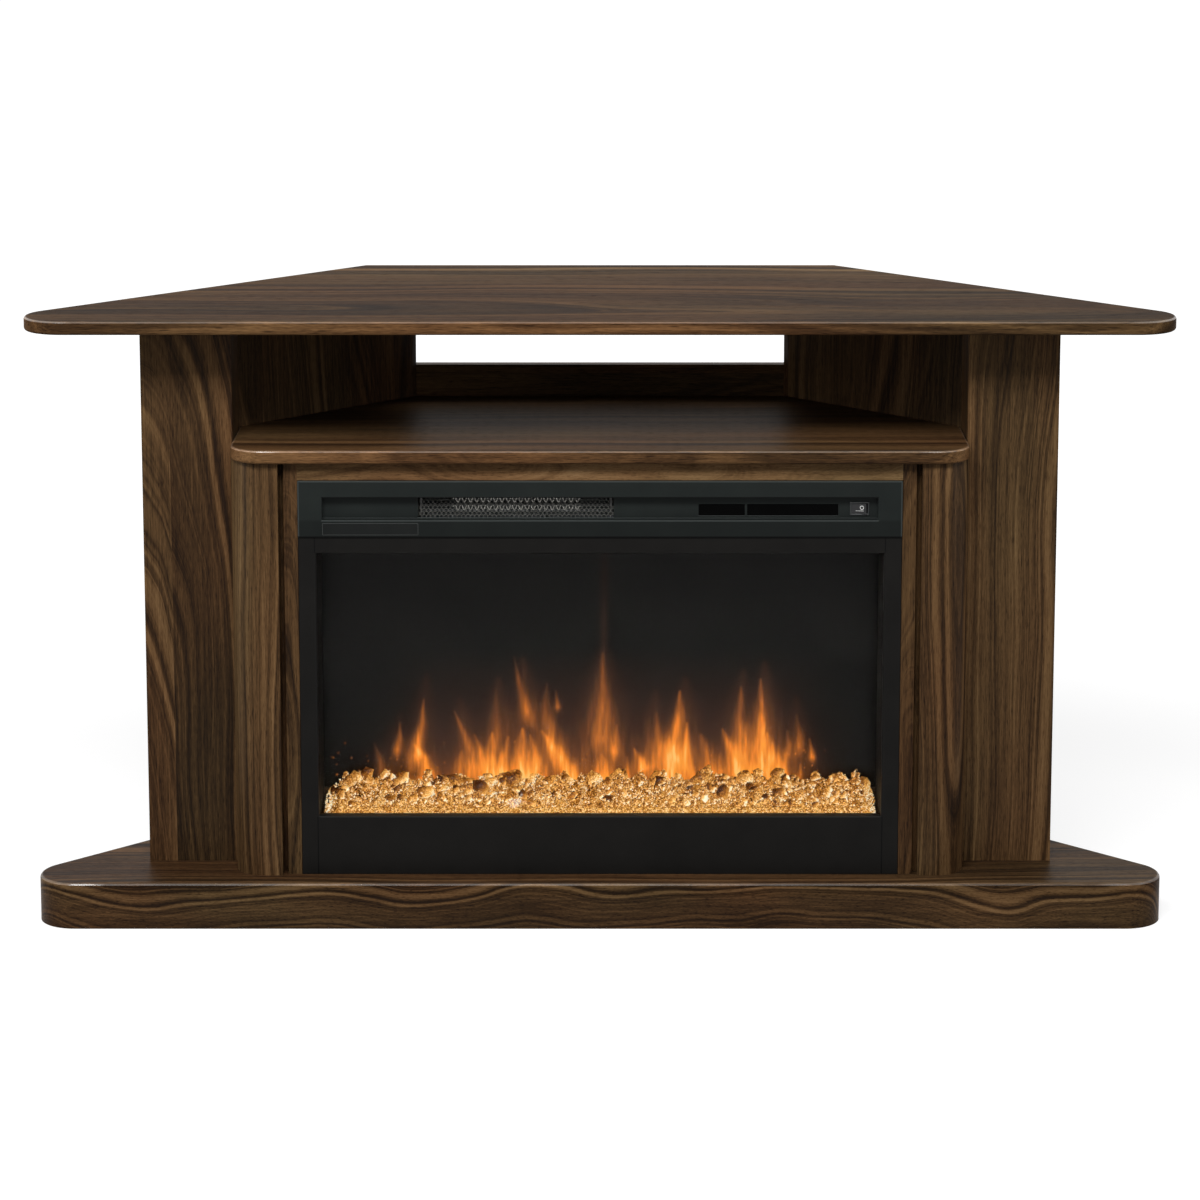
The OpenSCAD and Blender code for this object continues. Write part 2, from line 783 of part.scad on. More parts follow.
rocker_drop = 1.5;                 // the rocker sits lower than the recess's middle
rocker_z = recess_mid - rocker_drop;
rocker_size = [16, 11.2];          // face of the rocker
rocker_crown = 4;                  // from the pivot to the middle of the face
rocker_sides = [1.5, 2.2];         // side walls end here before, the heel behind the pivot
rocker_pin_r = 1;
bezel_t = 1.2;
switch_depth = 14;
half_travel = rocker_travel / 2;

module rocker_bezel() {
    hole = rocker_hole / 2;
    body = hole + [rocker_wall, rocker_wall];
    color(soot) placed() translate([rocker_x, recess_y, rocker_z]) difference() {
        union() {
            span([-bezel_w / 2, -bezel_t, -bezel_h / 2], [bezel_w / 2, 0, bezel_h / 2]);
            span([-body[0], -over / 2, -body[1]], [body[0], switch_depth, body[1]]);
        }
        span([-hole[0], -bezel_t - over, -hole[1]], [hole[0], switch_depth - rocker_wall, hole[1]]);
        translate([0, pivot_y - recess_y, 0])
            cylinder(h = 2 * body[1] + over, r = rocker_pin_r + run, center = true);
    }
}

// The rocker rests tipped to its on side. Its two halves meet in a shallow V.
module power_rocker() {
    half = rocker_size[0] / 2;
    rim = rocker_crown + half * tan(half_travel);
    shoulder = rocker_sides[0];
    heel = rocker_sides[1];
    color([0.05, 0.05, 0.05]) placed() translate([rocker_x, pivot_y, rocker_z])
        rotate(-half_travel) {
            translate([0, 0, -rocker_size[1] / 2]) linear_extrude(rocker_size[1]) polygon([
                [-half, -rim], [0, -rocker_crown], [half, -rim],
                [half, -shoulder], [half / 2, heel], [-half / 2, heel], [-half, -shoulder]
            ]);
            cylinder(h = rocker_hole[1] + 2 * rocker_wall - fit, r = rocker_pin_r, center = true);
        }
}

module front_glass() {
    lap = [glass_lap, 0, glass_lap];
    color([0.1, 0.1, 0.1, 0.35]) placed()
        span([-liner_x, glass_y, window_z] - lap, [liner_x, glass_back, window_z + window_h] + lap);
}

clip_w = 20;
clip_pitch = 240;
clip_t = 1.2;
clip_foot = 10.5;
clip_hook = 4;

// Z-shaped clips on the back of the frame's face hold the glass against its lip.
module glass_clips() {
    foot_y = frame_set + trim_t;
    color(zinc) placed() for (k = [-1:1]) for (up = [0, 1])
        translate([k * clip_pitch - clip_w / 2, 0,
                up ? window_z + window_h + glass_lap : window_z - glass_lap])
            mirror([0, 0, up]) {
                span([0, foot_y, -clip_foot], [clip_w, foot_y + clip_t, -seat]);
                span([0, foot_y, -seat - clip_t], [clip_w, glass_back + clip_t, -seat]);
                span([0, glass_back, -seat - clip_t],
                    [clip_w, glass_back + clip_t, clip_hook - seat]);
            }
}

pcb_t = 1.6;
pcb_h = 32;
pcb_post_l = 8;
pcb_post_r = 1.5;
pcb_post_z = recess_h / 2 + trim_t - pcb_post_r - 0.2;
pcb_y = recess_back + pcb_post_l;
pcb_z = recess_mid - pcb_h / 2;    // lower edge of the control board
pcb_end = 6;                       // the board ends short of the display's end
readout = [48, 6];                 // width and reach of the display module
receiver = [8, 5];                 // and of the receiver for the remote control
relay = [19, 16, 15];              // width, height and reach
transformer = [24, 22, 20];
terminal = [7, 8, 9];
terminal_pitch = 9;
part_edge = 4;                     // from the board's edges to the parts on its back
// What stands on the back: left edge, and the part.
back_parts = concat(
    [[lens_x + 2 * part_edge, relay], [lens_x + 3 * part_edge + relay[0] + 5, transformer]],
    [for (k = [0:4]) [display_x + 30 + k * terminal_pitch, terminal]]
);

module control_board() {
    x1 = display_x + display_w - pcb_end;
    back = pcb_y + pcb_t;
    color(board_green) placed() {
        span([lens_x - 2, pcb_y, pcb_z], [x1, back, pcb_z + pcb_h]);
        // behind the middle of each lens
        for (c = [[display_x + display_w / 2, readout], [lens_x + signal_w / 2, receiver]])
            span([c[0] - c[1][0] / 2, pcb_y - c[1][1], lens_z + lens_rim],
                [c[0] + c[1][0] / 2, pcb_y, lens_z + lens_h - lens_rim]);
        for (c = back_parts) translate([c[0], back, pcb_z + part_edge])
            cube([c[1][0], c[1][2], c[1][1]]);
        // posts to the recess's back, above and below the windows
        for (x = [lens_x + 6, x1 - 8]) for (z = [-pcb_post_z, pcb_post_z])
            translate([x, recess_back, recess_mid + z]) rotate([-90, 0, 0])
                cylinder(h = pcb_post_l, r = pcb_post_r);
    }
}

// ---------- insert: housing ----------

flange_foot = 6;                   // the front flange ends over the floor
flange_head = 2;                   // and under the roof

module housing_side() {
    x = housing_x;
    z0 = base_h + sheet_t;
    z1 = housing_top - sheet_t;
    color(galvanised) placed() difference() {
        union() {
            span([x - sheet_t, frame_back, z0], [x, housing_back, z1]);
            span([x - sheet_t, frame_back, z0 + flange_foot],
                [x + flange_w, frame_back + sheet_t, z1 - flange_head]);
            span([x - flange_w, housing_back - sheet_t, z0], [x, housing_back, z1]);
        }
        cover_screw_spots() pilot(cover_screw_l, cover_screw_r);
    }
}

slot_pitch = 60;
slot_l = 40;
slot_w = 4;
slot_rows = [0.62, 0.9];           // how far back in the floor the slots are

module housing_floor() {
    color(galvanised) placed() difference() {
        span([-housing_x, frame_back, base_h], [housing_x, housing_back, base_h + sheet_t]);
        // cooling slots for the light strips
        for (k = [-4:4]) for (f = slot_rows)
            translate([k * slot_pitch, frame_back + f * housing_d, base_h])
            span([-slot_l / 2, -slot_w / 2, -over], [slot_l / 2, slot_w / 2, sheet_t + over]);
    }
}

module housing_roof() {
    color(galvanised) placed()
        span([-housing_x, frame_back, housing_top - sheet_t],
            [housing_x, housing_back, housing_top]);
}

cover_screw_l = 6;
cover_screw_r = 1.6;
cover_inset = 5;
cover_end = 24;                    // from the cover's end to its first screw

// Screws of the rear cover, on the right-hand flange; they go in along -Y.
module cover_screw_spots() {
    for (k = [0:3]) translate([housing_x - cover_inset, housing_back + sheet_t,
            base_h + cover_end + k * (housing_h - 2 * cover_end) / 3])
        rotate([-90, 0, 0]) children();
}

louvre_l = 56;
louvre_h = 5;
louvre_rows = 6;
louvre_cols = 4;
louvre_pitch = 13;
louvre_gap = 14;                   // between two louvres of a row
louvre_top = 34;                   // from the cover's top to the first row
hood_lean = 52;
hood_lap = 1;                      // how far a hood passes its slot's ends

module at_louvres() {
    for (row = [0:louvre_rows - 1]) for (col = [0:louvre_cols - 1])
        translate([
            (col - (louvre_cols - 1) / 2) * (louvre_l + louvre_gap),
            housing_back + sheet_t,
            housing_top - louvre_top - row * louvre_pitch
        ]) children();
}

inlet_in = 130;                    // from the housing's right side to the gland
inlet_x = housing_x - inlet_in;
inlet_up = 100;                    // over the lower back rail, so the lead runs out freely
inlet_z = base_h + inlet_up;
inlet_wall = 2.5;
inlet_neck_r = inlet_r + inlet_wall;

module rear_cover() {
    color(galvanised) placed() difference() {
        union() {
            difference() {
                span([-housing_x, housing_back, base_h],
                    [housing_x, housing_back + sheet_t, housing_top]);
                at_louvres()
                    span([-louvre_l / 2, -sheet_t - over, -louvre_h], [louvre_l / 2, over, 0]);
            }
            // pressed hoods that lean out over the slots
            at_louvres() rotate([-hood_lean, 0, 0])
                span([-louvre_l / 2 - hood_lap, -sheet_t, -sheet_t],
                    [louvre_l / 2 + hood_lap, louvre_h + 2, 0]);
        }
        both_sides() cover_screw_spots() pilot(cover_screw_l, cover_screw_r);
        translate([inlet_x, housing_back, inlet_z]) rotate([90, 0, 0])
            cylinder(h = 4 * sheet_t, r = inlet_neck_r + drill_gap, center = true);
    }
}

module cover_screws() {
    color(zinc) placed() both_sides() cover_screw_spots()
        screw(cover_screw_l, cover_screw_r, head_r = 3.2);
}

// Cable gland without its cord: lock nut, neck, flange, hexagon cap and rim.
gland_lap = 3;                     // flange and lock nut stand out this far
gland_nut = 5;
gland_flange = 3;
gland_cap = 9;
gland_rim = 3;

module cord_inlet() {
    cap_z = sheet_t + gland_flange;
    rim_z = cap_z + gland_cap;
    color(soot) placed() translate([inlet_x, housing_back, inlet_z]) rotate([-90, 0, 0])
        difference() {
            union() {
                translate([0, 0, -gland_nut])
                    cylinder(h = gland_nut, r = inlet_neck_r + gland_lap, $fn = 6);
                cylinder(h = sheet_t, r = inlet_neck_r);
                translate([0, 0, sheet_t])
                    cylinder(h = gland_flange, r = inlet_neck_r + gland_lap);
                translate([0, 0, cap_z])
                    cylinder(h = gland_cap, r = inlet_neck_r + gland_lap - 1, $fn = 6);
                translate([0, 0, rim_z])
                    cylinder(h = gland_rim, r1 = inlet_neck_r + 1, r2 = inlet_neck_r - 1);
            }
            translate([0, 0, -gland_nut - over])
                cylinder(h = gland_nut + rim_z + gland_rim + 2 * over, r = inlet_r);
        }
}

// ---------- insert: firebox ----------

module firebox_liner() {
    z0 = base_h + sheet_t;
    color(soot) placed() {
        both_sides() span([liner_x, liner_y, z0], [liner_x + liner_t, liner_back, liner_top]);
        span([-liner_x - liner_t, liner_y, liner_top],
            [liner_x + liner_t, liner_back, liner_top + liner_t]);
    }
}

screen_foot = 10;                  // how far the screen reaches under the tray's lip

module flame_screen() {
    color([0.06, 0.05, 0.05]) placed()
        span([-liner_x + seat, screen_y, tray_z - screen_foot],
            [liner_x - seat, screen_y + screen_t, liner_top - seat]);
}

panel_y = screen_y + screen_t + 8;
panel_t = 1;
panel_top = tray_z + window_h / 2;
flame_count = 16;
flame_foot = 6;                    // height of the slots' feet over the tray's lip
flame_margin = 30;                 // from the liner's walls to the outer slots

// Height of the k-th flame slot: a slow swell with a quicker one over it.
function flame_slot_h(k) = 70 + 38 * sin(k * 77) + 22 * sin(k * 139 + 40);

// Panel with flame-shaped slots: the rotor's light plays through them.
module flame_cutout_panel() {
    step = 2 * (liner_x - flame_margin) / flame_count;
    color(soot) placed() translate([0, panel_y + panel_t, 0]) rotate([90, 0, 0])
        linear_extrude(panel_t) difference() {
            translate([-liner_x + seat, base_h + sheet_t])
                square([2 * (liner_x - seat), panel_top - base_h - sheet_t]);
            for (k = [0:flame_count - 1]) {
                h = flame_slot_h(k);
                w = step * 0.36;
                lean = 4 * sin(k * 53);
                translate([(k - (flame_count - 1) / 2) * step, tray_z + flame_foot]) polygon([
                    [-w / 2, 0], [w / 2, 0], [w / 2 + 2, h * 0.3], [w / 3 + lean, h * 0.6],
                    [lean * 2, h], [lean - w / 4, h * 0.55], [-w / 2 - 2, h * 0.25]
                ]);
            }
        }
}

tray_dip = 12;                     // the tray's floor under its front lip
tray_back_h = 12;                  // the tray's rear lip over its front lip
tray_slope = tray_rise / (tray_depth - 2 * tray_t);

// Sheet tray that carries the crystals and lets the light through from below.
module ember_tray() {
    x = liner_x - seat;
    d = tray_depth;
    low = -tray_t - tray_dip;
    color([0.75, 0.72, 0.68, 0.6]) placed() translate([-x, liner_y, tray_z])
        rotate([90, 0, 90]) linear_extrude(2 * x) polygon([
            [0, 0], [0, low], [d, low + tray_rise],
            [d, tray_back_h], [d - tray_t, tray_back_h], [d - tray_t, tray_rise - tray_dip],
            [tray_t, -tray_dip], [tray_t, 0]
        ]);
}

// Pseudo-random value from 0 to 1 for the k-th crystal and the channel c.
function shake(k, c) = let (v = sin(k * 127.1 + c * 311.7) * 437.585) v - floor(v);

// A chip of glass: a tapered lump with flat faces.
module chip(k, size) {
    rotate([360 * shake(k, 1), 360 * shake(k, 2), 360 * shake(k, 3)]) hull()
        cylinder(h = 1.3 * size, r1 = size * (0.7 + 0.4 * shake(k, 4)), r2 = size * 0.5,
            center = true, $fn = 5);
}

crystal_rows = 4;
bed_profile = [15, 22, 29];        // height of the core at its front, middle and back
bed_top = 44;                      // no chip stands higher over the tray's floor
chip_inset = 8;                    // from the bed's edges to the outer chips

// The heap of glass chips: a sloping core with chips standing out of it.
module crystal_bed() {
    x = liner_x - 2;
    d = tray_depth - 2 * (tray_t + seat);
    foot = tray_slope * seat;
    foot_back = tray_slope * (seat + d);
    color([0.95, 0.62, 0.28]) placed()
        translate([-x, liner_y + tray_t + seat, tray_z - tray_dip + seat]) intersection() {
            union() {
                rotate([90, 0, 90]) linear_extrude(2 * x) polygon([
                    [0, foot], [d, foot_back], [d, bed_profile[2]],
                    [d / 2, bed_profile[1]], [0, bed_profile[0]]
                ]);
                for (row = [0:crystal_rows - 1]) for (col = [0:crystal_cols - 1]) {
                    k = row * crystal_cols + col;
                    back = row / (crystal_rows - 1);
                    translate([
                        chip_inset + (2 * (x - chip_inset)) / crystal_cols
                            * (col + 0.5 + 0.6 * (shake(k, 6) - 0.5)),
                        chip_inset + back * (d - 2 * chip_inset),
                        bed_profile[0] + 12 * back + 3 * shake(k, 7)
                    ]) chip(k, 8 + 4 * shake(k, 5));
                }
            }
            rotate([90, 0, 90]) linear_extrude(2 * x)
                polygon([[0, foot], [d, foot_back], [d, bed_top], [0, bed_top]]);
        }
}

strip_w = 12;
strip_t = 1.6;
strip_post = 5;
lamp = [5, 5, 1.6];

// A light strip: a board on low posts with a row of lamps.
module light_strip(x0, x1, y, lamps) {
    end = 14;                      // from the strip's ends to the first and last lamp
    translate([0, y, base_h + sheet_t]) {
        span([x0, -strip_w / 2, strip_post], [x1, strip_w / 2, strip_post + strip_t]);
        for (k = [0:2]) translate([x0 + end + k * (x1 - x0 - 2 * end) / 2, 0, 0])
            cylinder(h = strip_post, r = strip_w / 4);
        for (k = [0:lamps - 1])
            translate([
                x0 + end + k * (x1 - x0 - 2 * end) / (lamps - 1) - lamp[0] / 2,
                -lamp[1] / 2,
                strip_post + strip_t
            ]) cube(lamp);
    }
}

ember_lamps = 24;
flame_lamps = 20;

strip_end = 21;                // from the liner's walls to the strips

module ember_light_strip() {
    x = liner_x - strip_end;
    color(board_green) placed() light_strip(-x, x, liner_y + tray_depth * 0.44, ember_lamps);
}

module flame_light_strip() {
    color(board_green) placed()
        light_strip(strip_end - liner_x, motor_bracket_x - strip_end, rotor_axis_y - 6,
            flame_lamps);
}

// ---------- insert: flame rotor ----------

rotor_end_x = -(liner_x - 9);       // inner face of the left-hand bracket
bracket_t = 1.2;
bracket_foot = [8, 40];             // width and length of a bracket's foot
bracket_head = 12;                  // how far a bracket rises over the axis
boss_l = 2.4;                       // bearing boss of a bracket
boss_wall = 2.5;
flag_w = 13;
flag_t = 0.6;
flag_inset = 8;                     // from the brackets to the outer flags
hub_reach = 7;                      // how far the shaft reaches into the motor

// A shaft with rings of bright flags, each ring turned a little on the last.
module flame_rotor() {
    x0 = rotor_end_x + flag_inset;
    pitch = (motor_bracket_x - flag_inset - flag_w - x0) / (flag_rings - 1);
    shaft_x = rotor_end_x - boss_l - over;
    color([0.8, 0.8, 0.82]) placed() translate([0, rotor_axis_y, rotor_axis_z]) {
        translate([shaft_x, 0, 0]) rotate([0, 90, 0])
            cylinder(h = motor_bracket_x + bracket_t + hub_reach - shaft_x, r = rotor_shaft_r);
        for (ring = [0:flag_rings - 1]) for (flag = [0:2])
            translate([x0 + ring * pitch, 0, 0]) rotate([ring * 37 + flag * 120, 0, 0])
                span([0, -flag_t / 2, rotor_shaft_r * 0.7], [flag_w, flag_t / 2, flag_reach]);
    }
}

// An upright plate with a foot and a bearing boss, turned away from the rotor.
module rotor_bracket() {
    z0 = base_h + sheet_t;
    y0 = rotor_axis_y - bracket_foot[1] / 2;
    y1 = rotor_axis_y + bracket_foot[1] / 2;
    difference() {
        union() {
            span([0, y0, z0], [bracket_t, y1, rotor_axis_z + bracket_head]);
            span([0, y0, z0], [bracket_foot[0], y1, z0 + bracket_t]);
            translate([0, rotor_axis_y, rotor_axis_z]) rotate([0, 90, 0])
                cylinder(h = boss_l, r = rotor_shaft_r + boss_wall);
        }
        translate([-over, rotor_axis_y, rotor_axis_z]) rotate([0, 90, 0])
            cylinder(h = boss_l + 2 * over, r = rotor_shaft_r + run);
    }
}

module rotor_brackets() {
    color(galvanised) placed() {
        translate([rotor_end_x, 0, 0]) mirror([1, 0, 0]) rotor_bracket();
        translate([motor_bracket_x, 0, 0]) rotor_bracket();
    }
}

// Slow synchronous motor with a flat can, on two posts; the rotor's shaft
// ends in its hub.
module rotor_motor() {
    face = boss_l - bracket_t + seat;
    can_r = rotor_motor_d / 2;
    neck = 4;                       // the gear case stands out of the can
    post_r = 2.5;
    color(zinc) placed() translate([motor_bracket_x + bracket_t, rotor_axis_y, rotor_axis_z])
        rotate([0, 90, 0]) difference() {
            union() {
                translate([0, 0, face]) cylinder(h = rotor_motor_t, r = can_r * 0.8);
                translate([0, 0, face + neck]) cylinder(h = rotor_motor_t - neck, r = can_r);
                for (side = [-1, 1]) translate([0, side * (can_r - post_r - 1), 0])
                    cylinder(h = face + neck + over, r = post_r);
            }
            translate([0, 0, -over])
                cylinder(h = over + face + hub_reach, r = rotor_shaft_r + run);
        }
}

// ---------- insert: fan heater ----------

blade_r = 5;
fan_x0 = outlet_x - fan_l / 2;
fan_x1 = outlet_x + fan_l / 2;
disc_t = 1.2;
disc_count = 4;
wall_t = 1;
casing_gap = 3;                      // from the wheel's ends to the end plates
plate_x0 = fan_x0 - casing_gap - wall_t;
plate_x1 = fan_x1 + casing_gap + wall_t;
core_r = 9;                          // the motor's rotor on the fan's shaft
core_l = 13;
core_air = 0.6;
stator_x = 4;                        // from the casing to the motor's frame
stator_l = 14;

// Cross section of one blade: an arc between the wheel's inner and outer rim.
module blade() {
    intersection() {
        difference() { circle(fan_r - 0.2); circle(fan_r - blade_depth); }
        translate([fan_r - blade_depth / 2 - 1, -blade_r + 0.3]) difference() {
            circle(blade_r);
            circle(blade_r - blade_t);
        }
        translate([0, -0.5]) square([fan_r, blade_r + 2]);
    }
}

// Long fan wheel: curved blades between four discs, on one shaft with the
// motor's rotor at its right-hand end.
module fan_wheel() {
    color([0.16, 0.16, 0.17]) placed() translate([fan_x0, fan_axis_y, fan_z]) rotate([90, 0, 90]) {
        linear_extrude(fan_l) for (k = [0:fan_blades - 1]) rotate(360 * k / fan_blades) blade();
        for (k = [0:disc_count - 1]) translate([0, 0, k * (fan_l - disc_t) / (disc_count - 1)])
            cylinder(h = disc_t, r = fan_r);
        translate([0, 0, plate_x0 - fan_x0 - shaft_end])
            cylinder(h = plate_x1 - plate_x0 + 2 * shaft_end + stator_x + stator_l,
                r = fan_shaft_r);
        translate([0, 0, plate_x1 - fan_x0 + stator_x + (stator_l - core_l) / 2])
            cylinder(h = core_l, r = core_r);
    }
}

shaft_end = 3;                       // the shaft stands out of its bearings
wall_steps = 24;
wall_low = -35;                      // where the spiral wall starts, from straight back
wall_sweep = 125;                    // its sweep, up to straight over the axis
wall_gap = 2.5;                      // from the wheel to the wall's start
wall_growth = 4.5;                   // how much further off it is at its end
throat_z = 3;                        // lower wall of the outlet duct over the axis
throat_gap = 1.2;                    // from the wheel to the duct's lip
casing_drop = 3;                     // end plates reach below and behind the wheel
casing_back = 9;

// Radius of the casing's spiral wall at an angle from straight back.
function wall_r(a) = fan_r + wall_gap + wall_growth * (a - wall_low) / wall_sweep;
function wall_point(a, t) = [(wall_r(a) + t) * cos(a), (wall_r(a) + t) * sin(a)];

// Spiral wall from below the wheel's back, over its top and out to the front.
module spiral_wall() {
    angles = [for (k = [0:wall_steps]) wall_low + wall_sweep * k / wall_steps];
    front = heater_back - fan_axis_y;
    top = wall_r(wall_low + wall_sweep);
    polygon(concat(
        [for (a = angles) wall_point(a, 0)],
        [[front, top], [front, top + wall_t]],
        [for (k = [wall_steps:-1:0]) wall_point(angles[k], wall_t)]
    ));
}

heater_y = recess_back + mesh_t + 6;
heater_d = 26;
heater_back = heater_y + heater_d;

module fan_casing() {
    w = plate_x1 - plate_x0;
    low = -fan_r - casing_drop;
    front = heater_back - fan_axis_y;
    lip = -fan_r - throat_gap;
    color(galvanised) placed() translate([plate_x0, fan_axis_y, fan_z]) rotate([90, 0, 90]) {
        linear_extrude(w) spiral_wall();
        // lower wall of the outlet duct, with its lip near the wheel
        linear_extrude(w) polygon([
            [front, throat_z - wall_t], [front, throat_z], [lip - 0.3, throat_z],
            [lip, -throat_z], [lip - wall_t, -throat_z], [lip - wall_t - 0.2, throat_z - wall_t]
        ]);
        // end plates up to the roof
        for (x = [0, w - wall_t]) translate([0, 0, x]) linear_extrude(wall_t) difference() {
            translate([front, low])
                square([fan_r + casing_back - front, housing_top - sheet_t - fan_z - low]);
            circle(fan_shaft_r + run);
        }
    }
}

stator_leg = 39;                     // how far the motor's frame reaches behind
coil_box = [16, 21.2, 21];

module fan_motor() {
    color([0.35, 0.35, 0.37]) placed() translate([plate_x1, fan_axis_y, fan_z])
        rotate([90, 0, 90]) {
            // laminated frame with the rotor's hole and the coil's window
            translate([0, 0, stator_x]) linear_extrude(stator_l) difference() {
                translate([-17, -22]) square([stator_leg + 17, 44]);
                circle(core_r + core_air);
                translate([15, -11]) square([13, 22]);
            }
            // coil round the leg behind the window
            translate([26, -coil_box[1] / 2, stator_x + stator_l / 2 - coil_box[2] / 2])
                cube(coil_box);
            // posts to the casing's end plate
            for (side = [-1, 1]) translate([-12, side * 16, 0]) cylinder(h = stator_x, r = 3);
        }
}

coil_rows_z = [recess_mid - 4.4, recess_mid + 4.4];
mica_t = 2;
mica_inset = 2;                      // from the outlet's ends to the mica boards
mica_drop = 11;
divider_t = 0.8;
divider_w = 18;
ring_sides = 6;
rings_per_turn = 8;
wire_r = wire_d / 2;

// Centre line of a heater coil along X, with a straight lead at each end.
coil_l = outlet_w - 2 * (lead + mica_inset + mica_t);
coil_path = concat(
    [[-coil_l / 2 - lead, coil_r, 0], [-coil_l / 2 - 2, coil_r, 0]],
    [for (k = [0:coil_turns * rings_per_turn])
        let (a = 360 * k / rings_per_turn, s = k / (coil_turns * rings_per_turn))
        [-coil_l / 2 + s * coil_l, coil_r * cos(a), coil_r * sin(a)]],
    [[coil_l / 2 + 2, coil_r, 0], [coil_l / 2 + lead, coil_r, 0]]
);

function unit(v) = v / norm(v);
function heading(p, k) = unit(p[min(k + 1, len(p) - 1)] - p[max(k - 1, 0)]);

// Tube of a given radius swept along a path; side points keep off the X axis.
module tube(p, r) {
    n = len(p);
    points = [for (k = [0:n - 1]) let (
            t = heading(p, k),
            u = unit(cross(t, abs(t[0]) > 0.9 ? [0, 0, 1] : [1, 0, 0])),
            v = cross(t, u))
        for (s = [0:ring_sides - 1]) let (a = 360 * s / ring_sides)
            p[k] + r * (cos(a) * u + sin(a) * v)];
    faces = concat(
        [[for (s = [0:ring_sides - 1]) s]],
        [[for (s = [0:ring_sides - 1]) n * ring_sides - 1 - s]],
        [for (k = [0:n - 2]) for (s = [0:ring_sides - 1]) for (half = [0, 1])
            let (i = k * ring_sides, j = (s + 1) % ring_sides)
            half ? [i + s, i + ring_sides + s, i + ring_sides + j]
                 : [i + s, i + ring_sides + j, i + j]]
    );
    polyhedron(points, faces, convexity = 10);
}

// Least distance between two parts of the coil that are half a turn apart or
// more, less the wire's own diameter.
coil_gap = min([for (i = [0:len(coil_path) - 1])
    for (j = [i + rings_per_turn / 2:len(coil_path) - 1])
        norm(coil_path[i] - coil_path[j])]) - wire_d;

module heater_element() {
    x0 = outlet_x - outlet_w / 2 + mica_inset;
    x1 = outlet_x + outlet_w / 2 - mica_inset;
    mid = heater_y + heater_d / 2;
    low = recess_mid - mica_drop;
    top = fan_z + wall_r(wall_low + wall_sweep);
    echo(str("least gap of a heater coil to itself, mm: ", coil_gap));
    color([0.72, 0.7, 0.66]) placed() {
        // mica end boards and the board between the two coils
        for (x = [x0, x1 - mica_t]) span([x, heater_y, low], [x + mica_t, heater_back, top]);
        span([x0, mid - divider_w / 2, recess_mid - divider_t / 2],
            [x1, mid + divider_w / 2, recess_mid + divider_t / 2]);
        for (z = coil_rows_z) translate([outlet_x, mid, z]) tube(coil_path, wire_r);
    }
}

cutout_x = outlet_x + 40;
cutout_body = [7, 5];                // radius and height
cutout_cap = [5.5, 2];

// Bimetal disc that cuts the heater off, under the roof over the coils.
module thermal_cutout() {
    z = housing_top - sheet_t - cutout_body[1];
    cap_z = z - cutout_cap[1];
    color([0.6, 0.55, 0.5]) placed() translate([cutout_x, heater_y + heater_d / 2 + 2, 0]) {
        translate([0, 0, z]) cylinder(h = cutout_body[1], r = cutout_body[0]);
        translate([0, 0, cap_z]) cylinder(h = cutout_cap[1], r = cutout_cap[0]);
        for (side = [-1, 1]) translate([side * 4, 0, 0])
            span([-2, -0.4, cap_z - 0.8], [2, 0.4, cap_z + 0.5]);
    }
}

top_slab();
shelf();
header_rail();
back_rail();
lower_back_rail();
on_left() wing_front();  // wing_front_left
wing_front();  // wing_front_right
on_left() wing_return();  // wing_return_left
wing_return();  // wing_return_right
on_left() side_panel();  // side_panel_left
side_panel();  // side_panel_right
on_left() column();  // column_left
column();  // column_right
on_left() partition();  // partition_left
partition();  // partition_right
base_deck();
base_front_rail();
base_back_rail();
on_left() base_side_rail();  // base_side_rail_left
base_side_rail();  // base_side_rail_right
on_left() base_tip();  // base_tip_left
base_tip();  // base_tip_right
base_cross_ribs();
cam_locks();
cam_bolts();
dowels();
corner_plates();
insert_brackets();
wood_screws();
fascia();
outlet_mesh();
display_windows();
rocker_bezel();
power_rocker();
front_frame();
front_glass();
glass_clips();
housing_floor();
housing_roof();
on_left() housing_side();  // housing_side_left
housing_side();  // housing_side_right
rear_cover();
cover_screws();
cord_inlet();
firebox_liner();
flame_screen();
flame_cutout_panel();
ember_tray();
crystal_bed();
ember_light_strip();
flame_light_strip();
flame_rotor();
rotor_brackets();
rotor_motor();
fan_casing();
fan_wheel();
fan_motor();
heater_element();
thermal_cutout();
control_board();
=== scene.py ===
# %% [markdown]
# # Dressing the corner fireplace
#
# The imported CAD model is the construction: boards, insert, joints. This
# script gives it the finish of the real thing. First come the camera and
# the light, then the walnut boards, the sheet metal, the front of the
# insert with its glass and switch, and last the fire and its crushed glass.

# %% Load the frame
import math

import bmesh
import bpy
import numpy as np
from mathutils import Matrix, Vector
from mathutils.bvhtree import BVHTree


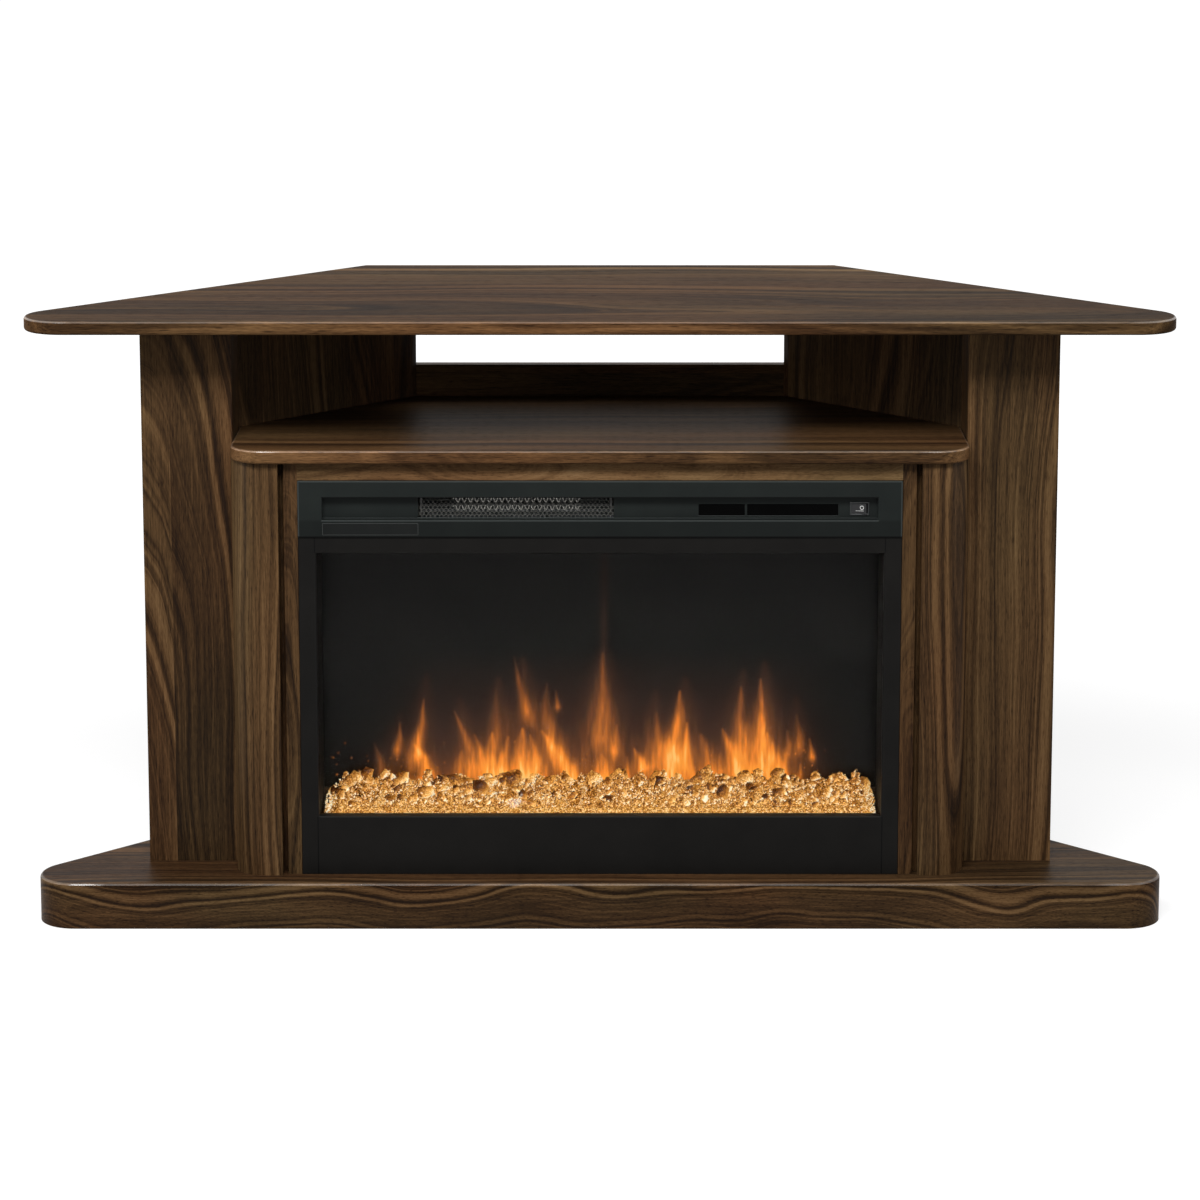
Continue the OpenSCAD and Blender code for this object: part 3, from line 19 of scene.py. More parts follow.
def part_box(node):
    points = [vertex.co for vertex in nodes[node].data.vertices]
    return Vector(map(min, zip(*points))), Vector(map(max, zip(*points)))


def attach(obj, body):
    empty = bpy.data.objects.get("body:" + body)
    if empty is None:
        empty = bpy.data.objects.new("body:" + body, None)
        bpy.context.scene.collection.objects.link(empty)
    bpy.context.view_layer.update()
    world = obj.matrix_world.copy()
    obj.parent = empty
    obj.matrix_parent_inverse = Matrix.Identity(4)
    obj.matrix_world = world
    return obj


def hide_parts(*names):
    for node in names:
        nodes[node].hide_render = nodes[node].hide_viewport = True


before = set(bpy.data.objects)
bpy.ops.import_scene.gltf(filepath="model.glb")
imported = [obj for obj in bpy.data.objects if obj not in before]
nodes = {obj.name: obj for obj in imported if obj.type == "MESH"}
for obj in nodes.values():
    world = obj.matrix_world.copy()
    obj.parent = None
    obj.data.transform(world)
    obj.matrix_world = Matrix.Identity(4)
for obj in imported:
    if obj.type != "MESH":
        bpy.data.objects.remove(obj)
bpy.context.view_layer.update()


# %% [markdown]
# The drawing of this fireplace counts depth as a setback from the front edge
# of the slab, in millimetres, because that is how a joiner would measure it
# in place. The row frame is in metres with its origin under the middle of
# the slab, 206 mm behind that edge.

# %% Places and objects
MM = 0.001
SETBACK = 206


def at(x, setback, z):
    """A point in the row frame, in metres, of millimetres in the drawing."""
    return (x * MM, (setback - SETBACK) * MM, z * MM)


def put(name, data):
    """An object in the scene that shows the data."""
    thing = bpy.data.objects.new(name, data)
    bpy.context.scene.collection.objects.link(thing)
    return thing


def to_object(name, vertices, faces):
    mesh = bpy.data.meshes.new(name)
    mesh.from_pydata([tuple(v) for v in vertices], [], [tuple(f) for f in faces])
    mesh.validate()
    return put(name, mesh)


def keep_number(mesh, label, values):
    """One number for each vertex, which a material reads by its label."""
    layer = mesh.attributes.new(label, "FLOAT", "POINT")
    layer.data.foreach_set("value", np.asarray(values, np.float32))


def place(piece, material, slot_name, *replaced, body="stand"):
    """The piece gets its material, rides on a body and stands for CAD nodes."""
    piece.data.materials.clear()
    piece.data.materials.append(material)
    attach(piece, body)
    if replaced:
        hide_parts(*replaced)
    return piece


print("the slab's front edge is at y", at(0, 0, 0)[1])


# %% [markdown]
# The photograph looks straight at the front from a little above the slab.
# Its view is shifted down and not tilted, which keeps the uprights upright.
# The views from the other sides keep the camera's shift, and all of it would
# push the object out of them. So the camera here stands a little further
# back, takes a third of the shift, and is tilted down for the rest.

# %% Camera
CAMERA_TILT = 9.874     # degrees below level
camera_data = bpy.data.cameras.new("camera")
camera_data.sensor_width = 36
camera_data.lens = 115.0
camera_data.shift_y = -0.205
camera_data.clip_start, camera_data.clip_end = 0.05, 60
camera = put("camera", camera_data)
camera.location = (0, -4.265, 1.3504)
camera.rotation_euler = (math.radians(90 - CAMERA_TILT), 0, 0)
bpy.context.scene.camera = camera
bpy.context.scene.view_settings.view_transform = "Standard"
print("lens", camera_data.lens, "mm, shift", camera_data.shift_y)


# %% [markdown]
# Node trees are easier to read when each node is one line. `add` makes a
# node and fills its sockets, either with a value or with a link. `calc` is
# the maths node, `mix` the colour mixer, and `remap` stretches one range of
# numbers to another. `swing` is the step that a natural finish needs most:
# it raises or lowers a value by noise that lies around a half.

# %% Short names for shader nodes
def fill(tree, node, values):
    """Give each socket its value, or a link where the value is a socket."""
    for key, value in values.items():
        if isinstance(value, bpy.types.NodeSocket):
            tree.links.new(value, node.inputs[key])
        else:
            node.inputs[key].default_value = value
    return node


def add(tree, kind, values=None, **settings):
    node = tree.nodes.new("ShaderNode" + kind)
    for key, value in settings.items():
        setattr(node, key, value)
    return fill(tree, node, values or {})


def calc(tree, operation, a, b=0.0, c=0.0, clamp=False):
    return add(tree, "Math", {0: a, 1: b, 2: c}, operation=operation,
               use_clamp=clamp).outputs[0]


def times(tree, a, b):
    return calc(tree, "MULTIPLY", a, b)


def minus(tree, a, b):
    return calc(tree, "SUBTRACT", a, b)


def scaled(tree, value, factor, offset):
    return calc(tree, "MULTIPLY_ADD", value, factor, offset)


def swing(tree, value, weight, base):
    """base, moved by weight times what value has over a half."""
    return scaled(tree, minus(tree, value, 0.5), weight, base)


def largest(tree, value, *others):
    for other in others:
        value = calc(tree, "MAXIMUM", value, other)
    return value


def remap(tree, value, low, high, at_low=0.0, at_high=1.0):
    return add(tree, "MapRange", {0: value, 1: low, 2: high, 3: at_low,
                                  4: at_high}).outputs[0]


def band(tree, value, low, high, soft):
    """1 between low and high, 0 outside, over a soft edge."""
    return times(tree, remap(tree, value, low - soft, low),
                 remap(tree, value, high, high + soft, 1.0, 0.0))


print("number helpers are ready")


# %% [markdown]
# The same for vectors and colours. Every pattern is laid in space, in
# millimetres of the row frame, because a board is cut from a solid log and
# its figure runs over the edges. `streaks` is noise in long patches.

# %% Vectors, colours and noise
def grey(value):
    return (value, value, value, 1)


def split(tree, vector):
    return add(tree, "SeparateXYZ", {0: vector}).outputs


def channels(tree, colour):
    return add(tree, "SeparateColor", {0: colour}).outputs


def join(tree, **parts):
    """A vector of its parts x, y and z."""
    return add(tree, "CombineXYZ", {"XYZ".index(k.upper()): part
                                    for k, part in parts.items()}).outputs[0]


def vectors(tree, operation, a, b):
    return add(tree, "VectorMath", {0: a, 1: b}, operation=operation).outputs[0]


def place_vector(tree):
    """Where the surface is, in millimetres of the row frame."""
    coordinates = tree.nodes.new("ShaderNodeTexCoord").outputs["Object"]
    return vectors(tree, "MULTIPLY", coordinates, (1000, 1000, 1000))


def noise(tree, vector, scale=1.0, detail=2.0, rough=0.5, out="Fac"):
    return add(tree, "TexNoise", {"Vector": vector, "Scale": scale, "Detail": detail,
                                  "Roughness": rough}).outputs[out]


def streaks(tree, vector, across, along, detail=2.0, rough=0.5, out="Fac"):
    """Noise in patches so many millimetres across the grain and along it."""
    scales = (1 / across, 1 / across, 1 / along)
    return noise(tree, vectors(tree, "MULTIPLY", vector, scales), 1.0, detail, rough, out)


def mix(tree, factor, a, b, blend="MIX"):
    return add(tree, "Mix", {0: factor, 6: a, 7: b}, data_type="RGBA",
               blend_type=blend).outputs[2]


def ramp(tree, value, stops):
    """A colour ramp; each stop is a place and a colour or a grey."""
    node = add(tree, "ValToRGB", {0: value})
    while len(node.color_ramp.elements) < len(stops):
        node.color_ramp.elements.new(0.5)
    for element, (where, colour) in zip(node.color_ramp.elements, stops):
        element.position = where
        element.color = grey(colour) if isinstance(colour, float) else (*colour, 1)
    return node.outputs[0]


def two_tones(tree, value, dark, light):
    return ramp(tree, value, [(0.3, dark), (0.7, light)])


print("colour helpers are ready")


# %% [markdown]
# A group gets named sockets, so that one grain or one wear effect serves
# many materials. The shader itself stays in each material.

# %% Groups and materials
def new_group(name, inputs, outputs):
    """A shader group. An input without a value is a vector, Color is a colour."""
    tree = bpy.data.node_groups.new(name, "ShaderNodeTree")
    for label, default in inputs.items():
        kind = "NodeSocketVector" if default is None else "NodeSocketFloat"
        socket = tree.interface.new_socket(label, in_out="INPUT", socket_type=kind)
        if default is not None:
            socket.default_value = default
    for label in outputs:
        kind = "NodeSocketColor" if label == "Color" else "NodeSocketFloat"
        tree.interface.new_socket(label, in_out="OUTPUT", socket_type=kind)
    given = tree.nodes.new("NodeGroupInput").outputs
    return tree, given, tree.nodes.new("NodeGroupOutput")


def use(tree, group, **values):
    """The group's outputs; leaf_width=9 sets its socket Leaf Width to 9."""
    named = {key.replace("_", " ").title(): value for key, value in values.items()}
    return add(tree, "Group", named, node_tree=group).outputs


def new_material(name):
    """A material with its tree, its Principled shader and the place vector."""
    material = bpy.data.materials.new(name)
    material.use_nodes = True
    tree = material.node_tree
    return material, tree, tree.nodes["Principled BSDF"], place_vector(tree)


def emboss(tree, shader, height, strength, distance):
    bump = add(tree, "Bump", {"Height": height, "Strength": strength,
                              "Distance": distance})
    fill(tree, shader, {"Normal": bump.outputs[0]})


print("material helpers are ready")


# %% [markdown]
# The ground is a pale studio floor. It is white to the camera and to
# reflections, yet part of its light is real light, so that the fireplace
# keeps a soft shadow under its base. The world does the same: it is white
# where it is seen, and a plain grey where it lights the boards.

# %% Floor and world
AMBIENT = 0.145
FLOOR_REACH = 40     # metres from the middle


def seen(tree):
    """1 for rays that show the thing itself, straight, in gloss or through glass."""
    path = tree.nodes.new("ShaderNodeLightPath").outputs
    return largest(tree, path["Is Camera Ray"], path["Is Glossy Ray"],
                   path["Is Transmission Ray"])


floor_material, tree, shader, vector = new_material("studio_floor")
away = add(tree, "VectorMath", {0: vector}, operation="LENGTH").outputs["Value"]
fill(tree, shader, {"Base Color": grey(0.32), "Roughness": 0.9, "Specular IOR Level": 0.0,
                    "Emission Color": remap(tree, away, 900.0, 3200.0, 0.74, 1.0),
                    "Emission Strength": seen(tree)})
floor = to_object("studio_floor_plane", [(x * FLOOR_REACH, y * FLOOR_REACH, 0) for x, y in
                                         ((-1, -1), (1, -1), (1, 1), (-1, 1))], [range(4)])
floor.data.materials.append(floor_material)

world = bpy.data.worlds.new("studio")
bpy.context.scene.world = world
world.use_nodes = True
tree = world.node_tree
fill(tree, tree.nodes["Background"],
     {"Color": grey(1), "Strength": scaled(tree, seen(tree), 1 - AMBIENT, AMBIENT)})
print("ambient light", AMBIENT)


# %% [markdown]
# Four softboxes do the lighting: a wide one over the front, one on each
# side that draws the round edges of slab and base, and one behind for the
# views from the back. Each is given by where it stands, its size, and how
# much light it gives at the fireplace, as a share of the plain level.

# %% Softboxes
MIDDLE = Vector((0, 0, 0.35))


def softbox(name, where, width, height, level):
    """A lamp whose energy grows with its distance, so that level stays true."""
    toward = MIDDLE - Vector(where)
    data = bpy.data.lights.new(name, "AREA")
    data.shape = "RECTANGLE"
    data.size, data.size_y = width, height
    data.energy = level * math.pi ** 2 * toward.length ** 2
    lamp = put(name, data)
    lamp.location = where
    lamp.rotation_euler = toward.to_track_quat("-Z", "Y").to_euler()
    return lamp


softbox("softbox_front", (-0.4, -2.5, 2.75), 2.0, 0.9, 1.08)
softbox("softbox_left", (-3.0, -1.5, 1.2), 0.45, 1.2, 0.22)
softbox("softbox_right", (3.0, -1.5, 1.2), 0.45, 1.2, 0.16)
back_lamp = softbox("softbox_back", (0.4, 2.8, 2.4), 2.0, 1.2, 0.40)
back_lamp.visible_glossy = False     # or it would lie as a glare on the slab
print("lamps", len(bpy.data.lights))


# %% [markdown]
# ## Walnut
#
# The boards are faced with dark walnut. A veneer is cut from a log, so its
# figure is where the year rings meet the face: straight fine lines where the
# rings stand on edge, and long arches where they lie nearly flat. The group
# does it the same way. It measures the distance to a pith line that leans a
# little, bends it with slow noise, and darkens the end of every ring. Leaves
# of veneer lie side by side, each with its own pith, so that the figure
# changes at their joints.

# %% Walnut group: the rings
SEED_STEP, LEAF_STEP = 731.7, 517.0    # far enough apart for another piece of the noise
walnut_group, given, result = new_group(
    "walnut_grain",
    {"Place": None, "Leaf Width": 130.0, "Leaf Start": 0.0, "Seed": 0.0, "Face": 0.0,
     "Pith Depth": 30.0, "Ring": 9.0, "Lean": 0.05, "Figure": 1.0, "Tone": 0.0,
     "Wave": 1.0, "Run": 1.0, "Aside": 0.0},
    ("Color", "Roughness", "Height"))
g = walnut_group
width, start, wave = given["Leaf Width"], given["Leaf Start"], given["Wave"]
across, into, along = split(g, given["Place"])
here = vectors(g, "ADD", given["Place"], join(g, z=times(g, given["Seed"], SEED_STEP)))
here = vectors(g, "MULTIPLY", here, join(g, x=1.0, y=1.0, z=given["Run"]))
# which leaf of veneer this is, three chances for it, and where its pith is
leaf = calc(g, "FLOOR", calc(g, "DIVIDE", minus(g, across, start), width))
dice = add(g, "TexWhiteNoise", {"W": calc(g, "ADD", leaf, given["Seed"])},
           noise_dimensions="1D")
chance = channels(g, dice.outputs["Color"])
middle = scaled(g, calc(g, "ADD", leaf, 0.5), width, start)
middle = calc(g, "ADD", middle, given["Aside"])
pith = swing(g, chance[0], times(g, width, 0.8), middle)
here = vectors(g, "ADD", here, join(g, x=times(g, leaf, LEAF_STEP)))
# the log is not straight: slow bends and small ripples
slow = channels(g, streaks(g, here, 130, 420, 1.0, out="Color"))
quick = channels(g, streaks(g, here, 22, 130, 2.0, 0.55, "Color"))
ripple = times(g, wave, 3.2)
dx = swing(g, slow[0], times(g, wave, 46.0), minus(g, across, pith))
dx = swing(g, quick[0], ripple, dx)
lean = times(g, given["Lean"], scaled(g, chance[1], 0.8, 0.6))
dy = calc(g, "ADD", minus(g, into, given["Face"]), given["Pith Depth"])
dy = scaled(g, along, lean, dy)
dy = swing(g, slow[1], times(g, wave, 70.0), dy)
dy = swing(g, quick[1], ripple, dy)
radius = calc(g, "SQRT", calc(g, "ADD", times(g, dx, dx), times(g, dy, dy)))
rings = calc(g, "DIVIDE", radius, given["Ring"])


def year_noise(rings, scale, detail, rough=0.5):
    """Noise that changes from ring to ring and keeps still along each."""
    return add(g, "TexNoise", {"W": rings, "Scale": scale, "Detail": detail,
                               "Roughness": rough}, noise_dimensions="1D").outputs["Fac"]


rings = scaled(g, year_noise(rings, 0.55, 1.0), 2.6, rings)
print("nodes that make the rings", len(g.nodes))


# %% [markdown]
# A year starts pale and ends in a thin dark line, and not every year is as
# dark as the next. The tone also drifts over a few years. Over the rings
# come broad clouds of tone, long fibres, specks and short dark pores. The
# sum picks a brown from one ramp, and a faint tinge of red or green.

# %% Walnut group: the tone
late = ramp(g, calc(g, "FRACT", rings), [(0.0, 0.10), (0.10, 0.02), (0.60, 0.25),
                                         (0.86, 0.75), (0.94, 1.0), (1.0, 0.15)])
year = add(g, "TexWhiteNoise", {"W": calc(g, "FLOOR", rings)}, noise_dimensions="1D")
late = times(g, late, scaled(g, year.outputs["Value"], 0.85, 0.15))
drift = remap(g, year_noise(rings, 0.23, 2.0, 0.6), 0.30, 0.70)
each = year_noise(rings, 1.1, 1.0)
thread = year_noise(rings, 5.0, 2.0, 0.6)
cloud = streaks(g, here, 70, 330)
streak = streaks(g, here, 4, 320, rough=0.6)
fibre = streaks(g, here, 1.5, 60, rough=0.6)
speck = streaks(g, here, 0.9, 8, rough=0.6)
pores = remap(g, streaks(g, here, 1.1, 14, 1.0), 0.58, 0.70)
value = swing(g, cloud, 0.50, 0.58)
for share, weight in ((streak, 0.42), (fibre, 0.42), (speck, 0.42), (chance[2], 0.22)):
    value = swing(g, share, weight, value)
figure = swing(g, each, 0.85, times(g, minus(g, thread, 0.5), 0.42))
figure = scaled(g, drift, -0.30, figure)
figure = scaled(g, late, -0.26, figure)
value = scaled(g, figure, given["Figure"], value)
value = scaled(g, pores, -0.20, value)
value = calc(g, "ADD", value, given["Tone"])
brown = ramp(g, value, [(0.0, (0.0120, 0.0064, 0.0036)), (0.25, (0.034, 0.0178, 0.0082)),
                        (0.5, (0.077, 0.0412, 0.0182)), (0.75, (0.132, 0.0745, 0.0340)),
                        (1.0, (0.200, 0.1210, 0.0600))])
tinge = ramp(g, streaks(g, here, 90, 500, 1.0),
             [(0.35, (1.05, 0.96, 0.90)), (0.65, (0.96, 1.03, 0.98))])
rough = scaled(g, fibre, 0.10, scaled(g, pores, 0.12, 0.38))
fill(g, result, {"Color": mix(g, 1.0, brown, tinge, "MULTIPLY"), "Roughness": rough,
                 "Height": minus(g, times(g, fibre, 0.4), pores)})
print("walnut nodes", len(g.nodes))


# %% [markdown]
# An eased edge catches the light as a fine pale line, which the materials
# give it as a painted highlight. The group finds such edges by how the surface
# turns: a mask that is 1 where the normal stands between upright and level.
# It also gives a mask of dust for what faces up, and one for the upright sides.

# %% Edge and dust group
edge_group, given, result = new_group("eased_edge", {"Place": None, "Amount": 1.0},
                                      ("Mask", "Dust", "Side"))
g = edge_group
facing_up = split(g, g.nodes.new("ShaderNodeNewGeometry").outputs["Normal"])[2]
turn = band(g, facing_up, 0.42, 0.86, 0.14)
side = remap(g, calc(g, "ABSOLUTE", facing_up), 0.70, 0.92, 1.0, 0.0)
broken = scaled(g, noise(g, given["Place"], 0.05), 0.6, 0.7)
up = remap(g, facing_up, 0.85, 1.0)
specks = remap(g, noise(g, given["Place"], 0.45, 3.0, 0.7), 0.58, 0.74)
fill(g, result, {"Mask": times(g, times(g, turn, given["Amount"]), broken),
                 "Dust": times(g, up, specks), "Side": side})
print("edge nodes", len(g.nodes))


# %% [markdown]
# Grain runs along each board: sideways on the slab, shelf, deck and rails,
# and upright on wings, columns and side panels. A board material picks the
# direction, and the group gets the place as across, into the log and along.

# %% Walnut material
WAYS = {"upright": (0, 1, 2), "flat": (1, 2, 0), "rail": (2, 1, 0)}
NO_CORNER = 9000.0     # mm, further out than any board
SHINE_FADE = 25.0      # mm over which the shine of a corner comes in
# painted highlight of the eased arrises: how much paler they are painted, and the glint
# added
ARRIS_HIGHLIGHT_GAIN, ARRIS_HIGHLIGHT_GLINT = 1.7, (0.055, 0.050, 0.043, 1)
DUST = (0.25, 0.23, 0.21, 1)


def veneer(tree, axes, way, values):
    order = [axes[k] for k in WAYS[way]]
    turned = join(tree, x=order[0], y=order[1], z=order[2])
    return use(tree, walnut_group, place=turned, **values)


def walnut(name, way, gloss=0.05, edge=1.0, corner=NO_CORNER, side=1.0, lipping=None,
           **values):
    """A board of walnut, painted on all its faces.

    Past the distance corner from the middle its arrises shine, and side is how
    much paler the upright faces are painted than the flat ones, painted light
    for the light that falls more on them. Its eased arrises get a painted
    highlight. lipping is the veneer of its upright faces, where they carry
    another one.
    """
    material, tree, shader, vector = new_material(name)
    axes = split(tree, vector)
    grain = veneer(tree, axes, way, values)
    eased = use(tree, edge_group, place=vector, amount=edge)
    upright = veneer(tree, axes, "rail", lipping)["Color"] if lipping else grain["Color"]
    # painted light: the upright faces are painted paler by side
    upright = mix(tree, 1.0, upright, grey(side), "MULTIPLY")
    colour = mix(tree, eased["Side"], grain["Color"], upright)
    # painted highlight: the eased arrises are painted paler, with an added glint
    paler = mix(tree, 1.0, colour, grey(ARRIS_HIGHLIGHT_GAIN), "MULTIPLY")
    paler = mix(tree, 1.0, paler, ARRIS_HIGHLIGHT_GLINT, "ADD")
    colour = mix(tree, eased["Mask"], colour, paler)
    colour = mix(tree, times(tree, eased["Dust"], 0.05), colour, DUST)
    out = remap(tree, calc(tree, "ABSOLUTE", axes[0]), corner, corner + SHINE_FADE)
    coat = times(tree, scaled(tree, out, 0.9, 0.1), eased["Mask"])
    fill(tree, shader, {"Base Color": colour, "Roughness": grain["Roughness"],
                        "Specular IOR Level": gloss, "Coat Weight": coat,
                        "Coat Roughness": 0.26, "Coat IOR": 1.9})
    emboss(tree, shader, grain["Height"], 0.12, 0.0004)
    return material


print("ways of the grain", list(WAYS))


# %% [markdown]
# Each board has its own leaves of veneer, which are given by their width,
# where the first one starts, and a seed. Face is where the veneered face
# lies, counted into the log. The rest is what this board has of its own:
# how deep the pith lies, how wide the rings are, how bold the figure, how
# dark the tone. Some tones also hold painted light: the shelf, the side
# panels and the wing returns are set darker as painted shade for the shade
# in the bay, and the back rail is set paler as painted light in it. The whole
# front of the base carries one run of bold veneer, also over the edge of the
# deck, so it reads as one thick board.

# %% Board table
def board(way, leaf_width, leaf_start, seed, face=0, **more):
    return way, dict(leaf_width=leaf_width, leaf_start=leaf_start, seed=seed, face=face,
                     **more)


_, BASE_VENEER = board("rail", 110, -40, 4, -206, pith_depth=10, ring=6, lean=0.03,
                       figure=1.1, tone=-0.06, wave=1.25, run=2.2)
BOARDS = {
    # painted light: side paints the upright faces of slab and shelf paler than their tops
    "top_slab": board("flat", 420, -210, 1, 679, pith_depth=60, ring=26, figure=1.2,
                      run=0.8, wave=1.6, corner=570, gloss=0.007, side=1.7),
    # painted shade: the shelf's tone is set darker for the shade under the slab
    "shelf": board("flat", 420, -210, 2, 533, pith_depth=50, ring=24, figure=0.7,
                   tone=-0.21, corner=345, gloss=0.024, side=1.55),
    "base_deck": board("flat", 420, -210, 3, 52, pith_depth=40, ring=14, figure=1.1,
                       tone=-0.22, run=1.2, edge=0.5, corner=545, gloss=0.032,
                       lipping=BASE_VENEER),
    "header_rail": board("rail", 60, 480, 5, -171, ring=6, figure=0.7, tone=0.25, run=2),
    # painted light: the back rail's tone is set paler against the shade in the bay
    "back_rail": board("rail", 90, 470, 6, 147, tone=0.12),
    "lower_back_rail": board("rail", 90, 40, 7, 162),
    "wing_front_left": board("upright", 76, -474, 49, -122, pith_depth=16, ring=8,
                             lean=0.16, figure=0.95, tone=-0.10, aside=-38),
    "wing_front_right": board("upright", 130, 395, 9, -122, ring=8, figure=0.9,
                              tone=0.10, wave=0.8, aside=120),
    "column_left": board("upright", 400, -430, 50, -177, ring=6, lean=0.03, tone=0.14,
                         figure=0.9),
    "column_right": board("upright", 400, 330, 51, -177, ring=6, lean=0.03, tone=-0.02,
                          figure=0.9),
    "partition_left": board("upright", 60, -360, 12, -171, ring=6, tone=0.06),
    "partition_right": board("upright", 60, 310, 13, -171, ring=6, tone=0.05),
    # painted shade: the side panels and wing returns are set darker for the shade in the
    # bay
    "side_panel_left": board("upright", 140, -520, 14, 200, figure=0.8, tone=-0.13),
    "side_panel_right": board("upright", 140, 220, 15, 200, figure=0.8, tone=-0.13),
    "wing_return_left": board("upright", 140, -520, 16, 200, tone=-0.08),
    "wing_return_right": board("upright", 140, 380, 17, 200, tone=-0.08),
    "base_back_rail": board("rail", 90, -20, 18),
    "base_side_rail_left": board("rail", 90, -20, 19),
    "base_side_rail_right": board("rail", 90, -20, 20),
    "base_cross_ribs": board("flat", 90, -206, 21, tone=-0.1),
}
BASE_FRONT = ("base_front_rail", "base_tip_left", "base_tip_right")
for node in BASE_FRONT:
    BOARDS[node] = ("rail", dict(edge=0.0, **BASE_VENEER))
print("boards", len(BOARDS))


# %% [markdown]
# The boards' sharp arrises are eased with a bevel, apart from those that the
# CAD model has rounded, the hidden ribs, and the base front, where a line
# would give its joints away. A hollow-faced strip of walnut closes the joint
# beside each column, which would otherwise be a black slit.

# %% Board finish
WELD = 0.00002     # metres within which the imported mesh's points are one
LEFT_AS_PACKED = ("top_slab", "shelf", "base_deck", "base_cross_ribs") + BASE_FRONT


def soften(node, width, segments=2, angle=35):
    """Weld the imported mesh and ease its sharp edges, as a board's arrises are."""
    nodes[node].modifiers.new("weld", "WELD").merge_threshold = WELD
    bevel = nodes[node].modifiers.new("ease", "BEVEL")
    bevel.width = width * MM
    bevel.segments = segments
    bevel.limit_method = "ANGLE"
    bevel.angle_limit = math.radians(angle)
    bevel.harden_normals = False


def paint(node, material):
    nodes[node].data.materials.clear()
    nodes[node].data.materials.append(material)


def reveal_strip(name, x0, x1, bottom=52.2, top=518.3, back=50.0, face=46.0, hollow=1.6):
    half, middle = (x1 - x0) / 2, (x0 + x1) / 2
    section = [(x0, back)] + [(middle + half * k / 4, face - hollow * (k / 4) ** 2)
                              for k in range(-4, 5)] + [(x1, back)]
    vertices = [at(x, setback, z) for z in (bottom, top) for x, setback in section]
    n = len(section)
    faces = [(i, (i + 1) % n, n + (i + 1) % n, n + i) for i in range(n)]
    return to_object(name, vertices, faces + [range(n - 1, -1, -1), range(n, 2 * n)])


reveal = walnut("walnut_reveal", "upright", seed=12, face=-171, tone=-0.08)
for name, x0, x1 in (("reveal_strip_left", -351.4, -345.6),
                     ("reveal_strip_right", 345.6, 351.4)):
    place(reveal_strip(name, x0, x1), reveal, "walnut_board")
for node, (way, values) in BOARDS.items():
    paint(node, walnut("walnut_" + node, way, **values))
    if node not in LEFT_AS_PACKED:
        soften(node, 0.7)
print("eased boards", len(BOARDS) - len(LEFT_AS_PACKED))


# %% [markdown]
# ## Painted and bare metal
#
# The insert is sheet steel. Its front is powder coated in a satin black that
# leans to blue on the fascia, and powder paint has a fine orange peel. The
# housing is galvanised, with the flat flowers of zinc and a few scuffs. The
# group gives the peel, the flowers and the soft smudges of handling, and
# each material takes the part that it needs.

# %% Metal group
metal_group, given, result = new_group(
    "sheet_finish", {"Place": None, "Flower": 18.0, "Peel": 1.6},
    ("Smudge", "Flower", "Height", "Scratch"))
g = metal_group
cells = add(g, "TexVoronoi", {"Vector": given["Place"],
                              "Scale": calc(g, "DIVIDE", 1.0, given["Flower"])})
fine = add(g, "VectorMath", {0: given["Place"], 3: calc(g, "DIVIDE", 1.0, given["Peel"])},
           operation="SCALE").outputs[0]
scratch = noise(g, vectors(g, "MULTIPLY", given["Place"], (0.9, 0.9, 0.02)))
fill(g, result, {"Smudge": noise(g, given["Place"], 0.018, 4.0, 0.6),
                 "Flower": channels(g, cells.outputs["Color"])[0],
                 "Height": noise(g, fine, 1.0, 1.0),
                 "Scratch": remap(g, scratch, 0.66, 0.72)})


def sheet(name, dark, light, rough=0.4, gloss=0.3, metal=0.0, flower=0.0, peel=1.6,
          edge=0.0, bump=0.08, scratch=0.0):
    """A painted or bare sheet: two tones, and how much each effect shows."""
    material, tree, shader, vector = new_material(name)
    finish = use(tree, metal_group, place=vector, peel=peel)
    edge_masks = use(tree, edge_group, place=vector, amount=edge)
    tone = swing(tree, finish["Flower"], flower, finish["Smudge"])
    colour = two_tones(tree, tone, dark, light)
    # bright is a painted highlight on the eased edges, and the colour of real scratches
    bright = tuple(min(1.0, 2.4 * c + 0.02) for c in light) + (1,)
    colour = mix(tree, edge_masks["Mask"], colour, bright)
    colour = mix(tree, times(tree, finish["Scratch"], scratch), colour, bright)
    colour = mix(tree, times(tree, edge_masks["Dust"], 0.08), colour, (0.3, 0.29, 0.27, 1))
    uneven = scaled(tree, finish["Smudge"], 0.16, rough - 0.08)
    fill(tree, shader, {"Base Color": colour, "Roughness": uneven, "Metallic": metal,
                        "Specular IOR Level": gloss})
    emboss(tree, shader, finish["Height"], bump, 0.0003)
    return material


print("metal nodes", len(g.nodes))


# %% [markdown]
# One call gives each metal, paint or plastic of the insert. The heater is
# bright coils on dull mica boards in one piece, so its material tells them
# apart by their place. The coils also get a faint painted glow, a painted
# highlight for the light they catch, or the mesh before them would hide them.

# %% Metals and plastics
COILS, MICA = (-162.0, -22.0), (465.9, 467.2)    # where the coils start and end; the board


def repaint(material, change):
    """The material with its colour passed through change(tree, x, z, colour)."""
    tree = material.node_tree
    shader = tree.nodes["Principled BSDF"]
    x, _, z = split(tree, place_vector(tree))
    colour = shader.inputs["Base Color"].links[0].from_socket
    fill(tree, shader, change(tree, x, z, colour))
    return material


# painted glow: the coils give off a faint grey light, a painted highlight
def on_coils(tree, x, z, colour):
    coil = calc(tree, "SUBTRACT", band(tree, x, *COILS, 0.5), band(tree, z, *MICA, 0.1),
                clamp=True)
    return {"Base Color": mix(tree, coil, (0.012, 0.011, 0.010, 1), colour),
            "Emission Color": mix(tree, coil, grey(0), (0.16, 0.155, 0.14, 1)),
            "Emission Strength": 1.0}


